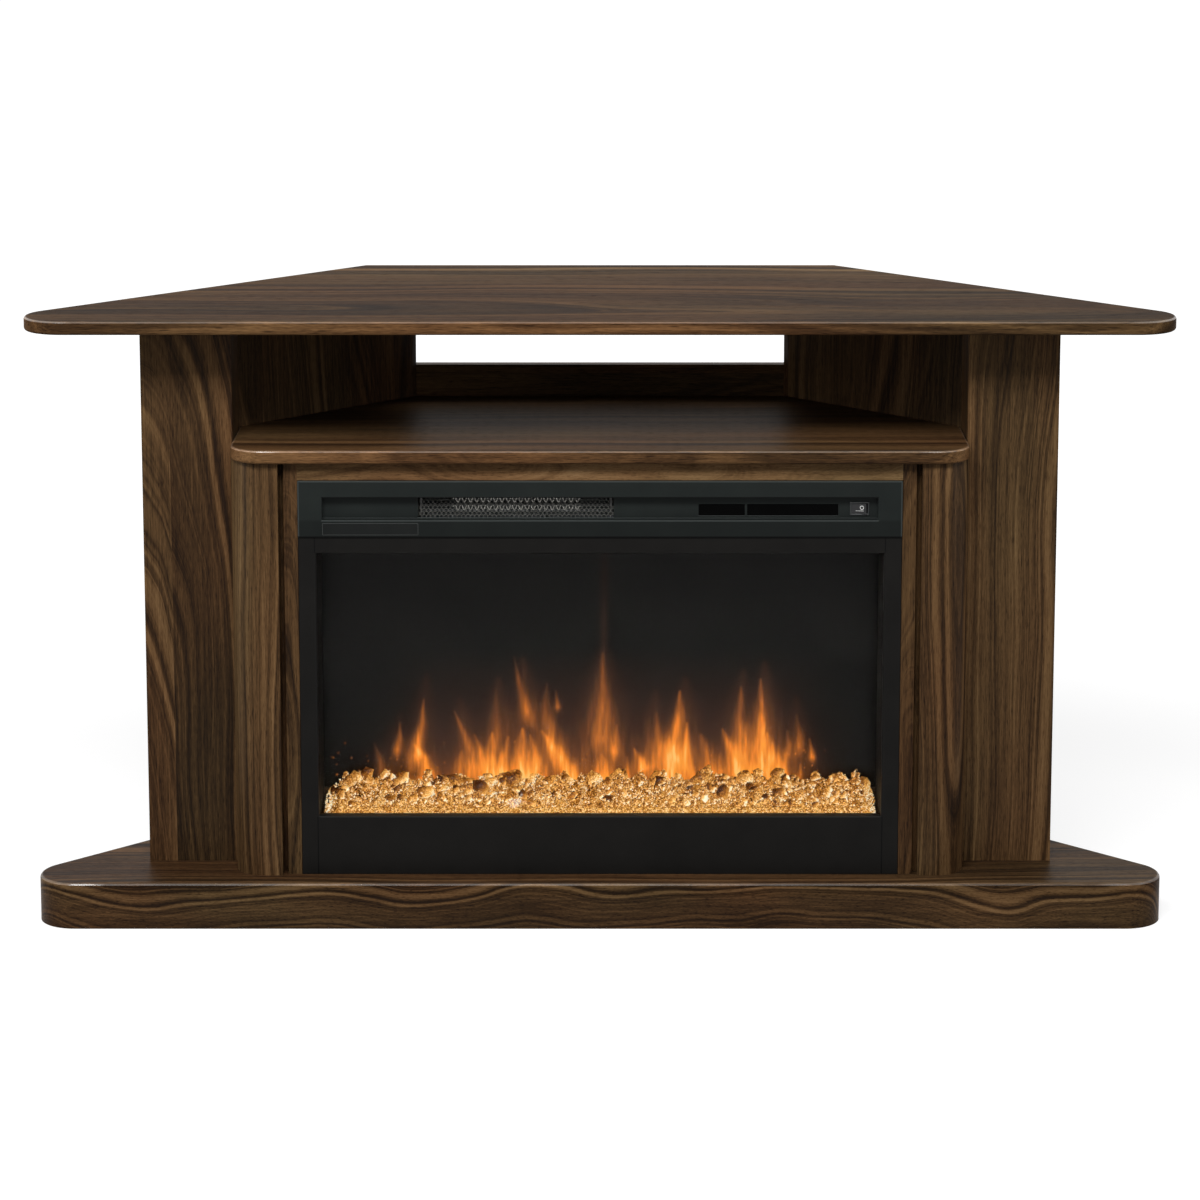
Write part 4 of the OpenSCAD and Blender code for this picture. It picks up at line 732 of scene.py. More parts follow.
galvanised = sheet("galvanised_steel", (0.24, 0.25, 0.26), (0.36, 0.37, 0.38), 0.50, 0.4,
                   0.80, flower=0.55, scratch=0.25)
zinc = sheet("zinc_plate", (0.24, 0.235, 0.22), (0.36, 0.355, 0.34), 0.42, 0.4, 0.9,
             flower=0.3, scratch=0.3)
soot = sheet("soot_paint", (0.0075, 0.0072, 0.0068), (0.0125, 0.0118, 0.0108), 0.62, 0.08)
frosted = sheet("frosted_tray", (0.022, 0.013, 0.008), (0.038, 0.022, 0.012), 0.5, 0.1)
foil = sheet("bright_foil", (0.62, 0.62, 0.61), (0.82, 0.82, 0.80), 0.2, 0.5, 1.0,
             flower=0.4, scratch=0.3)
motor = sheet("motor_steel", (0.20, 0.20, 0.21), (0.33, 0.33, 0.34), 0.38, 0.5, 0.9,
              scratch=0.4)
aluminium = sheet("fan_aluminium", (0.52, 0.53, 0.54), (0.72, 0.73, 0.74), 0.32, 0.5, 1.0,
                  scratch=0.3)
wire = repaint(sheet("heater_wire", (0.70, 0.68, 0.63), (0.95, 0.93, 0.88), 0.3, 0.5, 0.1),
               on_coils)
plastic = sheet("black_plastic", (0.010, 0.010, 0.0105), (0.018, 0.018, 0.019), 0.42, 0.25,
                peel=0.7, bump=0.15, edge=0.35)
beech = walnut("beech_dowel", "rail", figure=0.2, ring=3, tone=0.6, seed=31)

FINISHES = {
    "dowels": beech, "ember_tray": frosted, "flame_rotor": foil, "fan_wheel": aluminium,
    "heater_element": wire, "thermal_cutout": plastic, "cord_inlet": plastic,
    "firebox_liner": soot, "flame_cutout_panel": soot, "rotor_motor": motor,
    "fan_motor": motor,
}
for node in ("cam_locks", "cam_bolts", "corner_plates", "insert_brackets", "wood_screws",
             "glass_clips", "cover_screws"):
    FINISHES[node] = zinc
for node in ("housing_floor", "housing_roof", "housing_side_left", "housing_side_right",
             "rear_cover", "rotor_brackets", "fan_casing"):
    FINISHES[node] = galvanised
for node, material in FINISHES.items():
    paint(node, material)
for node in ("rear_cover", "cord_inlet", "corner_plates", "insert_brackets", "fan_casing",
             "rotor_motor", "fan_motor", "housing_side_left", "housing_side_right"):
    soften(node, 0.25)
print("finishes", len(FINISHES))


# %% [markdown]
# The two light strips and the control board are green lacquered laminate
# with fine copper tracks. The tracks are a pattern of narrow joints between
# long bricks, which is close to how a simple board looks.

# %% Circuit boards
for node in ("ember_light_strip", "flame_light_strip", "control_board"):
    material, tree, shader, vector = new_material("circuit_" + node)
    tracks = add(tree, "TexBrick", {"Vector": vector, "Scale": 0.22, "Mortar Size": 0.02,
                                    "Color1": (0.012, 0.075, 0.03, 1),
                                    "Color2": (0.010, 0.060, 0.024, 1),
                                    "Mortar": (0.30, 0.22, 0.07, 1)})
    fine = noise(tree, vector, 0.3, 3.0)
    colour = mix(tree, times(tree, fine, 0.4), tracks.outputs["Color"],
                 (0.02, 0.10, 0.045, 1))
    fill(tree, shader, {"Base Color": colour, "Specular IOR Level": 0.4,
                        "Roughness": scaled(tree, fine, 0.2, 0.25)})
    paint(node, material)
    soften(node, 0.2)
print("circuit boards done")


# %% [markdown]
# ## The fascia and the frame
#
# The fascia is a folded sheet with a long recess. Painted highlights lie
# along its top and its ends, along its eased edges and along the lower lip of
# the recess. Painted shade lies along its bottom edge and at the top of the
# recess, and the strip under the recess is painted darker. The frame under it
# is one member across the top, one on each side that runs down to the base,
# and one across the bottom, and where they meet there is a thin joint line.
# A painted highlight lies along the top of the bottom member and on the eased
# edges. The lines are in the material, at the window's edges.

# %% Fascia and frame paint
WINDOW_HALF, SILL, HEAD = 311.0, 118.6, 416.8       # mm, the window in the frame
RECESS_HALF, RECESS_LOW, RECESS_HIGH = 303.7, 454.2, 478.9
FASCIA_TOP, FASCIA_HALF = 497.0, 329.4              # where its edges catch the light


def line(tree, value, where, width):
    """1 on a thin line at that value."""
    return band(tree, value, where - width / 2, where + width / 2, width / 3)


def front_paint(name, edge_highlight, dark, light, rough, gloss):
    """Powder paint: material, tree, shader, axes, colour, peel and the mask of the painted
    highlight on its edges.
    """
    material, tree, shader, vector = new_material(name)
    finish = use(tree, metal_group, place=vector, peel=1.1)
    edge_masks = use(tree, edge_group, place=vector, amount=edge_highlight)["Mask"]
    uneven = scaled(tree, finish["Smudge"], 0.14, rough)
    fill(tree, shader, {"Roughness": uneven, "Specular IOR Level": gloss})
    colour = two_tones(tree, finish["Smudge"], dark, light)
    return material, tree, shader, split(tree, vector), colour, finish["Height"], edge_masks


material, tree, shader, (x, _, z), colour, peel, edge_masks = front_paint(
    "fascia_paint", 0.8, (0.0085, 0.0105, 0.0100), (0.0115, 0.0140, 0.0130), 0.34, 0.07)
# painted shade: the strip under the recess is painted darker
lower = band(tree, z, 430.0, RECESS_LOW - 2.0, 3.0)
colour = mix(tree, lower, colour, mix(tree, 1.0, colour, grey(0.66), "MULTIPLY"))
over_recess = band(tree, x, -RECESS_HALF, RECESS_HALF, 1.0)
# painted highlights along the top, the ends, the recess lip and the eased edges
light = largest(tree, times(tree, line(tree, z, RECESS_LOW - 0.9, 1.1), over_recess),
                line(tree, z, FASCIA_TOP, 1.2), line(tree, x, -FASCIA_HALF, 1.2),
                line(tree, x, FASCIA_HALF, 1.2), edge_masks)
colour = mix(tree, times(tree, light, 0.4), colour, (0.060, 0.068, 0.066, 1))
fascia_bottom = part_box("fascia")[0].z * 1000
# painted shade along the bottom edge and at the top of the recess
shade = largest(tree, line(tree, z, fascia_bottom + 0.5, 1.6),
                times(tree, line(tree, z, RECESS_HIGH + 0.4, 1.2), over_recess))
colour = mix(tree, times(tree, shade, 0.85), colour, grey(0.001))
fill(tree, shader, {"Base Color": colour})
emboss(tree, shader, peel, 0.10, 0.0003)
paint("fascia", material)
soften("fascia", 0.5)

material, tree, shader, (x, _, z), colour, peel, edge_masks = front_paint(
    "frame_paint", 0.6, (0.0058, 0.0054, 0.0050), (0.0080, 0.0074, 0.0068), 0.36, 0.055)
side = calc(tree, "ABSOLUTE", x)
outside = minus(tree, 1.0, band(tree, z, SILL, HEAD, 0.5))
joint = times(tree, line(tree, side, WINDOW_HALF + 1.2, 0.9), outside)
# painted highlight along the top of the bottom member, and on the eased edges
sill = times(tree, line(tree, z, SILL - 0.8, 1.0),
             band(tree, side, -1, WINDOW_HALF - 2, 1.0))
light = largest(tree, times(tree, sill, 0.5), edge_masks)
colour = mix(tree, times(tree, light, 0.5), colour, (0.050, 0.048, 0.044, 1))
fill(tree, shader, {"Base Color": mix(tree, joint, colour, grey(0.002))})
emboss(tree, shader, minus(tree, times(tree, peel, 0.3), joint), 0.3, 0.0004)
paint("front_frame", material)
soften("front_frame", 0.4)


# %% [markdown]
# The front glass is clear and plain, with only a faint reflection. The
# switch and its bezel are moulded in black plastic, with a painted highlight
# along their edges.
# The two windows for the display are deep black glass. All of them vary a
# little over their surface, as glass that was wiped by hand does.

# %% Glass, lenses and switch
material, tree, shader, vector = new_material("clear_glass")
tint = two_tones(tree, noise(tree, vector, 0.02, 3.0), (0.93, 0.93, 0.92),
                 (0.97, 0.97, 0.96))
fill(tree, shader, {"Base Color": tint, "Transmission Weight": 1.0, "Roughness": 0.0,
                    "IOR": 1.06})
paint("front_glass", material)

material, tree, shader, vector = new_material("black_lens")
depth = noise(tree, vector, 0.05)
fill(tree, shader, {"Base Color": two_tones(tree, depth, 0.0002, 0.0006),
                    "Roughness": scaled(tree, depth, 0.06, 0.05),
                    "Specular IOR Level": 0.02})
paint("display_windows", material)
paint("power_rocker", plastic)
soften("power_rocker", 0.35)
paint("rocker_bezel", sheet("bezel_plastic", (0.012, 0.0135, 0.014), (0.020, 0.022, 0.022),
                            0.32, 0.3, peel=0.6, edge=0.7))
soften("rocker_bezel", 0.45)

mark_paint, tree, shader, vector = new_material("mark_print")
ink = ramp(tree, noise(tree, vector, 2.0),
           [(0.3, (0.42, 0.42, 0.41)), (0.6, (0.66, 0.66, 0.64))])
fill(tree, shader, {"Base Color": ink, "Roughness": 0.6})
print("glass and switch painted")


# %% [markdown]
# A small plate with a raised border sits left under the recess, bare. It is
# built of loops, each one the same rounded outline, set in a little further
# and at another depth. The border also gets its own paler tone.

# %% Label plate
PLATE = (-303.4, -198.4, 437.4, 450.9)    # left, right, bottom, top
PLATE_FRONT, PLATE_BACK, BORDER, RAISED = 31.75, 32.05, 0.9, 0.12
STEPS = 4                                 # faces round each corner


def plate_outline(inset, corner=1.0):
    x0, x1, z0, z1 = PLATE
    r = max(corner - inset, 0.2)
    points = []
    for cx, cz, start in ((x1, z1, 0), (x0, z1, 90), (x0, z0, 180), (x1, z0, 270)):
        px = cx - math.copysign(inset + r, cx - (x0 + x1) / 2)
        pz = cz - math.copysign(inset + r, cz - (z0 + z1) / 2)
        for k in range(STEPS + 1):
            a = math.radians(start + 90 / STEPS * k)
            points.append((px + r * math.cos(a), pz + r * math.sin(a)))
    return points


def label_plate(name):
    top = PLATE_FRONT - RAISED
    loops = [(0.0, PLATE_BACK), (0.0, top + 0.1), (0.1, top), (BORDER, top),
             (BORDER + 0.1, PLATE_FRONT)]
    vertices = [at(x, setback, z) for inset, setback in loops
                for x, z in plate_outline(inset)]
    count = 4 * (STEPS + 1)
    faces = [(k * count + i, k * count + (i + 1) % count, (k + 1) * count + (i + 1) % count,
              (k + 1) * count + i) for k in range(len(loops) - 1) for i in range(count)]
    last = (len(loops) - 1) * count
    faces += [range(count - 1, -1, -1), range(last, last + count)]
    return to_object(name, vertices, faces)


def pale_rim(tree, x, z, colour):
    x0, x1, z0, z1 = PLATE
    field = times(tree, band(tree, x, x0 + 0.8, x1 - 0.8, 0.3),
                  band(tree, z, z0 + 0.8, z1 - 0.8, 0.3))
    return {"Base Color": mix(tree, minus(tree, 1.0, field), colour,
                              (0.038, 0.040, 0.039, 1))}


label = label_plate("bare_label_plate")
label_paint = sheet("label_plate_paint", (0.0070, 0.0078, 0.0076), (0.0098, 0.0106, 0.0102),
                    0.45, 0.06)
place(label, repaint(label_paint, pale_rim), "fascia_paint")
print("plate faces", len(label.data.polygons))


# %% [markdown]
# The rocker carries the two marks that every such switch has, a ring for off
# and a bar for on. They are printed, so they lie on its face: the marks are
# drawn flat and each of their points is dropped onto the rocker's own mesh.

# %% Rocker marks
RING_X, RING_Z, TURNS = 286.3, 466.3, 28
RING = ((1.55, 0.0), (1.65, 0.06), (2.1, 0.06), (2.2, 0.0))    # radius and thickness
BAR = ((279.6, 462.6), (288.4, 462.6), (288.4, 463.1), (279.6, 463.1))
NO_HIT = 41.0                             # setback of the rocker's face


def surface(mesh):
    """The mesh as something that a ray can hit."""
    return BVHTree.FromPolygons([v.co for v in mesh.vertices],
                                [p.vertices for p in mesh.polygons])


points, faces = [], []
for k in range(TURNS):
    a = 2 * math.pi * k / TURNS
    points += [(RING_X + r * math.cos(a), RING_Z + r * math.sin(a), lift)
               for r, lift in RING]
    n = (k + 1) % TURNS
    faces += [(4 * k + i, 4 * n + i, 4 * n + i + 1, 4 * k + i + 1) for i in range(3)]
faces.append(range(len(points), len(points) + len(BAR)))
points += [(x, z, 0.05) for x, z in BAR]
rocker_face = surface(nodes["power_rocker"].data)
dropped = []
for x, z, lift in points:
    hit = rocker_face.ray_cast(Vector(at(x, 20, z)), Vector((0, 1, 0)))[0]
    setback = hit.y * 1000 + SETBACK if hit else NO_HIT
    dropped.append(at(x, setback - 0.08 - lift, z))
place(to_object("rocker_marks", dropped, faces), mark_paint, "black_plastic", body="rocker")
print("marks on the rocker at setback", round(dropped[0][1] * 1000 + SETBACK, 2))


# %% [markdown]
# The hot air leaves through expanded metal: a sheet cut in short staggered
# slits and drawn out, so that each slit becomes a lozenge. It is built the
# same way, as one net of six-sided cells that share their strands, and then
# given its thickness.

# %% Outlet mesh
def expanded_mesh(name, x0, x1, z0, z1, front, pitch=4.8, row=3.3, point=0.75,
                  strand=0.65):
    """A net of staggered cells; point is half the length of their upright strands."""
    net = bmesh.new()
    found = {}

    def corner(px, pz):
        key = (round(px, 3), round(pz, 3))
        if key not in found:
            found[key] = net.verts.new(at(px, front, pz))
        return found[key]

    half, tip = pitch / 2, row - point
    for j in range(int((z1 - z0) / row) + 1):
        zc = z0 + row * (j + 0.5)
        for i in range(int((x1 - x0) / pitch) + 1):
            xc = x0 + pitch * i + (half if j % 2 else 0.0)
            net.faces.new([corner(xc + dx, zc + dz) for dx, dz in
                           ((half, point), (0, tip), (-half, point), (-half, -point),
                            (0, -tip), (half, -point))])
    mesh = bpy.data.meshes.new(name)
    net.to_mesh(mesh)
    net.free()
    piece = put(name, mesh)
    strands = piece.modifiers.new("strands", "WIREFRAME")
    strands.thickness = strand * MM
    strands.use_even_offset = False
    return piece


low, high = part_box("outlet_mesh")
outlet = expanded_mesh("outlet_net", low.x * 1000 + 1, high.x * 1000 - 1,
                       low.z * 1000 + 0.6, high.z * 1000 - 0.6,
                       low.y * 1000 + SETBACK + 0.4)
net_paint = sheet("net_paint", (0.11, 0.11, 0.10), (0.16, 0.16, 0.145), 0.4, 0.2, 0.0)
place(outlet, net_paint, "mesh_paint", "outlet_mesh")
print("outlet cells", len(outlet.data.polygons))


# %% [markdown]
# ## The fire
#
# Behind the glass there is no fire but a picture of one: lamps throw light
# off the turning foil, through a sheet with flame-shaped cuts, onto the back
# of a smoked screen. The picture is soft at its edges, orange outside and
# peach at its core, over a brown haze. Each tongue is laid as a bent line
# from root to tip with a width, in the steps of a sketch, and wide dim veils
# rise behind the tongues.

# %% Flame sketch
SCALE_X, SCALE_Z = 1.141, 1.155        # millimetres on the screen for one step
SKETCH_X, SKETCH_Z = 600.3, 780        # the screen's middle and the bed's top in the sketch
BED_TOP = 128.6                        # the bed's top on the screen, in millimetres

# strength, half width, then the bent line from root to tip
TONGUES = [
    (0.40, 6, (389, 778), (384, 758), (378, 736)),
    (0.55, 4, (400, 748), (403, 732), (403, 716)),
    (0.95, 9, (424, 786), (431, 770), (428, 752), (417, 738)),
    (0.75, 6, (416, 760), (420, 738), (425, 716), (427, 692)),
    (0.55, 9, (461, 778), (462, 762), (464, 744)),
    (0.60, 6, (473, 772), (474, 748), (466, 726), (457, 704)),
    (1.00, 11, (495, 788), (494, 764), (493, 744), (494, 726)),
    (0.75, 7, (490, 776), (484, 752), (477, 728)),
    (0.75, 7, (500, 776), (505, 752), (510, 730)),
    (0.28, 7, (497, 738), (498, 712), (498, 682)),
    (0.45, 5, (531, 716), (526, 694), (520, 672), (516, 650)),
    (1.00, 13, (526, 790), (524, 764), (523, 742), (524, 722)),
    (0.85, 8, (539, 780), (537, 752), (531, 728)),
    (0.95, 10, (574, 784), (568, 764), (556, 744), (543, 724)),
    (0.50, 9, (560, 752), (551, 724), (547, 700), (548, 676)),
    (0.50, 3, (559, 703), (558, 694), (557, 684)),
    (0.90, 14, (604, 790), (604, 768), (602, 748)),
    (0.42, 11, (603, 748), (602, 716), (603, 682), (603, 646)),
    (0.50, 5, (613, 750), (616, 734), (617, 718)),
    (0.60, 4, (627, 778), (628, 764), (627, 750)),
    (0.80, 7, (645, 766), (640, 754), (634, 742)),
    (0.40, 8, (655, 756), (657, 730), (656, 706)),
    (1.00, 11, (672, 788), (671, 762), (674, 734), (678, 706), (679, 684)),
    (0.85, 7, (685, 782), (684, 756), (686, 734), (686, 716)),
    (0.60, 4, (694, 784), (694, 772), (694, 760)),
    (0.62, 15, (712, 786), (711, 766), (706, 746), (700, 728)),
    (0.90, 9, (741, 776), (735, 756), (727, 738), (721, 722)),
    (0.60, 8, (744, 762), (741, 734), (738, 708), (739, 680)),
    (0.90, 9, (758, 780), (760, 748), (759, 714), (758, 672)),
    (1.00, 10, (777, 780), (775, 760), (770, 744), (765, 726)),
    (0.50, 4, (784, 752), (786, 738), (785, 724)),
    (0.38, 5, (795, 746), (797, 728), (794, 708)),
    (0.60, 3, (810, 754), (809, 743), (807, 732)),
    (0.60, 3, (796, 774), (798, 766), (798, 758)),
]
VEILS = [
    (0.16, 18, (392, 784), (398, 745), (404, 706)),
    (0.20, 18, (428, 784), (424, 735), (430, 668)),
    (0.24, 20, (468, 784), (468, 735), (462, 692)),
    (0.26, 24, (505, 784), (504, 735), (500, 672)),
    (0.28, 24, (545, 784), (536, 725), (524, 652)),
    (0.32, 28, (601, 784), (602, 722), (604, 638)),
    (0.26, 20, (646, 784), (652, 735), (655, 684)),
    (0.30, 24, (682, 784), (683, 735), (684, 672)),
    (0.26, 22, (728, 784), (735, 728), (741, 664)),
    (0.30, 22, (766, 784), (764, 725), (762, 656)),
    (0.20, 18, (800, 784), (797, 742), (793, 690)),
]
print("tongues", len(TONGUES), "veils", len(VEILS))


# %% [markdown]
# A point is as hot as the tongues that cover it. Each tongue is hottest a
# little above its root, tapers to its tip, and has a faint glow round it. A
# few sparks float over the glass, and a haze spreads behind the fire.

# %% Heat of the fire
def tongue_heat(px, pz, strength, width, *line_points):
    """Heat of one tongue at the points px, pz of the sketch."""
    points = np.array(line_points, float)
    lengths = np.hypot(*np.diff(points, axis=0).T)
    total = lengths.sum()
    best = np.full(px.shape, 1e9)
    along = np.zeros(px.shape)
    start = 0.0
    for a, b, length in zip(points[:-1], points[1:], lengths):
        d = (b - a) / length
        t = np.clip(((px - a[0]) * d[0] + (pz - a[1]) * d[1]) / length, 0, 1)
        gap = np.hypot(px - a[0] - t * length * d[0], pz - a[1] - t * length * d[1])
        closer = gap < best
        best = np.where(closer, gap, best)
        along = np.where(closer, (start + t * length) / total, along)
        start += length
    belly = 0.66 + 0.34 * np.sin(np.pi * np.sqrt(along))
    taper = 1.25 * width * (1.04 - along) ** 0.6 * belly
    body = np.exp(-(best / np.maximum(taper, 1.2)) ** 1.9)
    glow = np.exp(-(best / (2.2 * width)) ** 2) * 0.14
    fade = (1 - 0.62 * along) * np.clip(along / 0.30 + 0.42, 0, 1)
    return strength * (body * fade + glow * (1 - along))


SPARKS = 70
SPARK_PLACES = (352, 402, 436, 500, 590, 705, 800)


def heat_and_haze(px, pz):
    cold = 1.0
    for tongue in TONGUES + VEILS:
        cold = cold * (1 - np.clip(tongue_heat(px, pz, *tongue), 0, 0.985))
    heat = 1 - cold
    rng = np.random.default_rng(3)
    for _ in range(SPARKS):
        cluster = rng.choice(SPARK_PLACES)
        sx, sz = max(cluster + rng.normal() * 14, 336), 754 + rng.normal() * 9
        near = np.exp(-(np.hypot(px - sx, pz - sz) / rng.uniform(0.8, 1.3)) ** 2)
        heat = np.maximum(heat, near * rng.uniform(0.3, 0.9))
    rise = np.clip((pz - 640) / 120, 0, 1)
    spread = np.exp(-(np.maximum(np.abs(px - 606) - 150, 0) / 42) ** 2)
    return heat, rise ** 1.2 * spread * np.clip((pz - 560) / 100, 0, 1)


print("sparks", SPARKS)


# %% [markdown]
# The screen becomes a sheet with a fine grid of points where the fire plays.
# Each point keeps its heat and its haze, and the material turns them into
# a painted glow of the screen's own, in place of the light that the lamps
# throw on it. A slow noise breaks the tongues up into licks.

# %% Flame screen
STEP = 1.25                                # millimetres between the points
FIRE = (332, 866, 636, 796)                # left, right, top, bottom in the sketch


def flame_screen():
    low, high = (corner * 1000 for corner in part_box("flame_screen"))
    left, right = ((x - SKETCH_X) * SCALE_X for x in FIRE[:2])
    top, bottom = (BED_TOP + SCALE_Z * (SKETCH_Z - z) for z in FIRE[2:])
    xs = np.unique(np.concatenate([[low.x], np.arange(left, right, STEP), [high.x]]))
    zs = np.unique(np.concatenate([[low.z], np.arange(bottom, top, STEP), [high.z]]))
    grid_x, grid_z = np.meshgrid(xs, zs)
    heat, haze = heat_and_haze(grid_x / SCALE_X + SKETCH_X,
                               SKETCH_Z - (grid_z - BED_TOP) / SCALE_Z)
    vertices = [at(x, low.y + SETBACK, z) for x, z in zip(grid_x.ravel(), grid_z.ravel())]
    across, up = len(xs), len(zs)
    faces = []
    for j in range(up - 1):
        for k in range(j * across, j * across + across - 1):
            faces.append((k, k + 1, k + across + 1, k + across))
    # the edges and the back of the sheet
    base = len(vertices)
    rim = ([j * across for j in range(up)]
           + [(up - 1) * across + i for i in range(1, across)]
           + [j * across + across - 1 for j in range(up - 2, -1, -1)]
           + [i for i in range(across - 2, 0, -1)])
    vertices += [(vertices[k][0], high.y * MM, vertices[k][2]) for k in rim]
    for k in range(len(rim)):
        n = (k + 1) % len(rim)
        faces.append((rim[k], rim[n], base + n, base + k))
    faces.append(range(base + len(rim) - 1, base - 1, -1))
    piece = to_object("flame_screen_lit", vertices, faces)
    for label, values in (("fire_heat", heat), ("fire_haze", haze)):
        keep_number(piece.data, label, np.append(values.ravel(), np.zeros(len(rim))))
    return piece


# painted glow: the fire and its brown haze are the screen's own emission, standing in for
# the light the lamps throw on it
material, tree, shader, vector = new_material("smoked_screen")
heat = add(tree, "Attribute", attribute_name="fire_heat").outputs["Fac"]
haze = add(tree, "Attribute", attribute_name="fire_haze").outputs["Fac"]
flicker = noise(tree, vectors(tree, "MULTIPLY", vector, (0.16, 0.10, 0.026)), rough=0.55)
heat = calc(tree, "MULTIPLY", heat, scaled(tree, flicker, 1.15, 0.38), clamp=True)
fire = ramp(tree, heat, [(0.0, 0.0), (0.14, (0.026, 0.0085, 0.0026)),
                         (0.30, (0.11, 0.033, 0.0065)), (0.50, (0.34, 0.095, 0.011)),
                         (0.70, (0.84, 0.222, 0.016)), (0.86, (1.0, 0.34, 0.036)),
                         (1.0, (1.0, 0.55, 0.15))])
haze_glow = ramp(tree, haze, [(0.0, 0.0), (1.0, (0.034, 0.0135, 0.0078))])
film = noise(tree, vector, 0.02, 3.0)
dark = two_tones(tree, film, (0.0045, 0.0043, 0.0040), (0.0065, 0.0062, 0.0056))
fill(tree, shader, {"Emission Color": mix(tree, 1.0, fire, haze_glow, "ADD"),
                    "Emission Strength": 1.0, "Base Color": dark,
                    "Roughness": scaled(tree, film, 0.10, 0.12),
                    "Specular IOR Level": 0.05})
screen = place(flame_screen(), material, "smoked_screen", "flame_screen")
print("screen points", len(screen.data.vertices))


# %% [markdown]
# The bed in front of the screen is crushed glass, lit from below by the
# lamps in the tray: bright crumbs of two to five millimetres, stones of up
# to twelve and lumps of up to twenty-five, amber, honey and a few nearly
# brown. Each is a small broken solid with flat faces. A few shapes are
# broken once, then scattered over the heap of the CAD model, turned and
# sized at random from a fixed seed.

# %% Broken glass
rng = np.random.default_rng(7)


def broken_stone(corners):
    """Vertices and triangles of one rough convex solid of about unit radius."""
    points = rng.normal(size=(corners, 3))
    points /= np.linalg.norm(points, axis=1)[:, None]
    points *= rng.uniform(0.75, 1.15, corners)[:, None]
    points[:, 2] *= 0.8
    shape = bmesh.new()
    for p in points:
        shape.verts.new(p)
    bmesh.ops.convex_hull(shape, input=shape.verts[:])
    loose = [v for v in shape.verts if not v.link_faces]
    bmesh.ops.delete(shape, geom=loose, context="VERTS")
    bmesh.ops.recalc_face_normals(shape, faces=shape.faces[:])
    shape.verts.index_update()
    vertices = np.array([v.co for v in shape.verts])
    faces = np.array([[v.index for v in f.verts] for f in shape.faces])
    shape.free()
    return vertices, faces


def random_turn():
    q = rng.normal(size=4)
    q /= np.linalg.norm(q)
    w, x, y, z = q
    return np.array([[1 - 2 * (y * y + z * z), 2 * (x * y - z * w), 2 * (x * z + y * w)],
                     [2 * (x * y + z * w), 1 - 2 * (x * x + z * z), 2 * (y * z - x * w)],
                     [2 * (x * z - y * w), 2 * (y * z + x * w), 1 - 2 * (x * x + y * y)]])


STONES = [broken_stone(n) for n in (7, 8, 9, 10, 12, 14)]
LUMPS = [broken_stone(n) for n in (16, 20, 24)]
print("shapes", len(STONES) + len(LUMPS))


# %% [markdown]
# The stones need to know where the heap's skin is. A ray from above finds
# it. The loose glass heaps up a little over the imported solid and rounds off
# at the two ends, so the skin is raised and its shoulders are rounded.

# %% The heap's skin
HEAPED = 1.2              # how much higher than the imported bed
SHOULDER = 0.026          # metres over which each end rounds off
END_SHARE = 0.12          # height that is left at the very end
heap = nodes["crystal_bed"].data
heap_skin = surface(heap)
bed_low, bed_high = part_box("crystal_bed")


def shoulder(x, z):
    end = min(x - bed_low.x, bed_high.x - x) / SHOULDER
    share = math.sqrt(max(1 - (1 - min(max(end, 0), 1)) ** 2, 0.0))
    return bed_low.z + HEAPED * (z - bed_low.z) * (END_SHARE + (1 - END_SHARE) * share)


def heap_top(x, y):
    hit = heap_skin.ray_cast(Vector((x, y, 0.5)), Vector((0, 0, -1)))[0]
    return shoulder(x, hit.z) if hit else None


print("bed", [round(v * 1000, 1) for v in bed_low], [round(v * 1000, 1) for v in bed_high])


# %% [markdown]
# Every stone keeps a tint. Large lumps are also calm: inside them the colour
# changes less from facet to facet, and more with the way a face turns, as
# painted shade. Some stones lie against the pane, at any height, and a row of
# lumps stands along the ridge at the back.

# %% Scattering
RIM = 0.002                        # metres of the bed's rim that stay free
PANE_GAP, PANE_ROW = 0.0015, 0.003         # stones at the pane: their gap and depth
RIDGE_NEAR, RIDGE_FAR = 0.003, 0.012       # the ridge, from the bed's back edge
AT_PANE = 0.006                    # nearer than this a stone may lie at any height


def spot(front_share, ridge):
    """A random place on the bed."""
    x = rng.uniform(bed_low.x + RIM, bed_high.x - RIM)
    if rng.random() < front_share:
        y = bed_low.y + PANE_GAP + rng.uniform(0, PANE_ROW)
    else:
        y = rng.uniform(bed_low.y + RIM, bed_high.y - RIDGE_NEAR)
    if ridge:
        y = bed_high.y - rng.uniform(RIDGE_NEAR, RIDGE_FAR)
    return x, y


def inside(value, low, high, margin):
    return min(max(value, low + margin), high - margin)


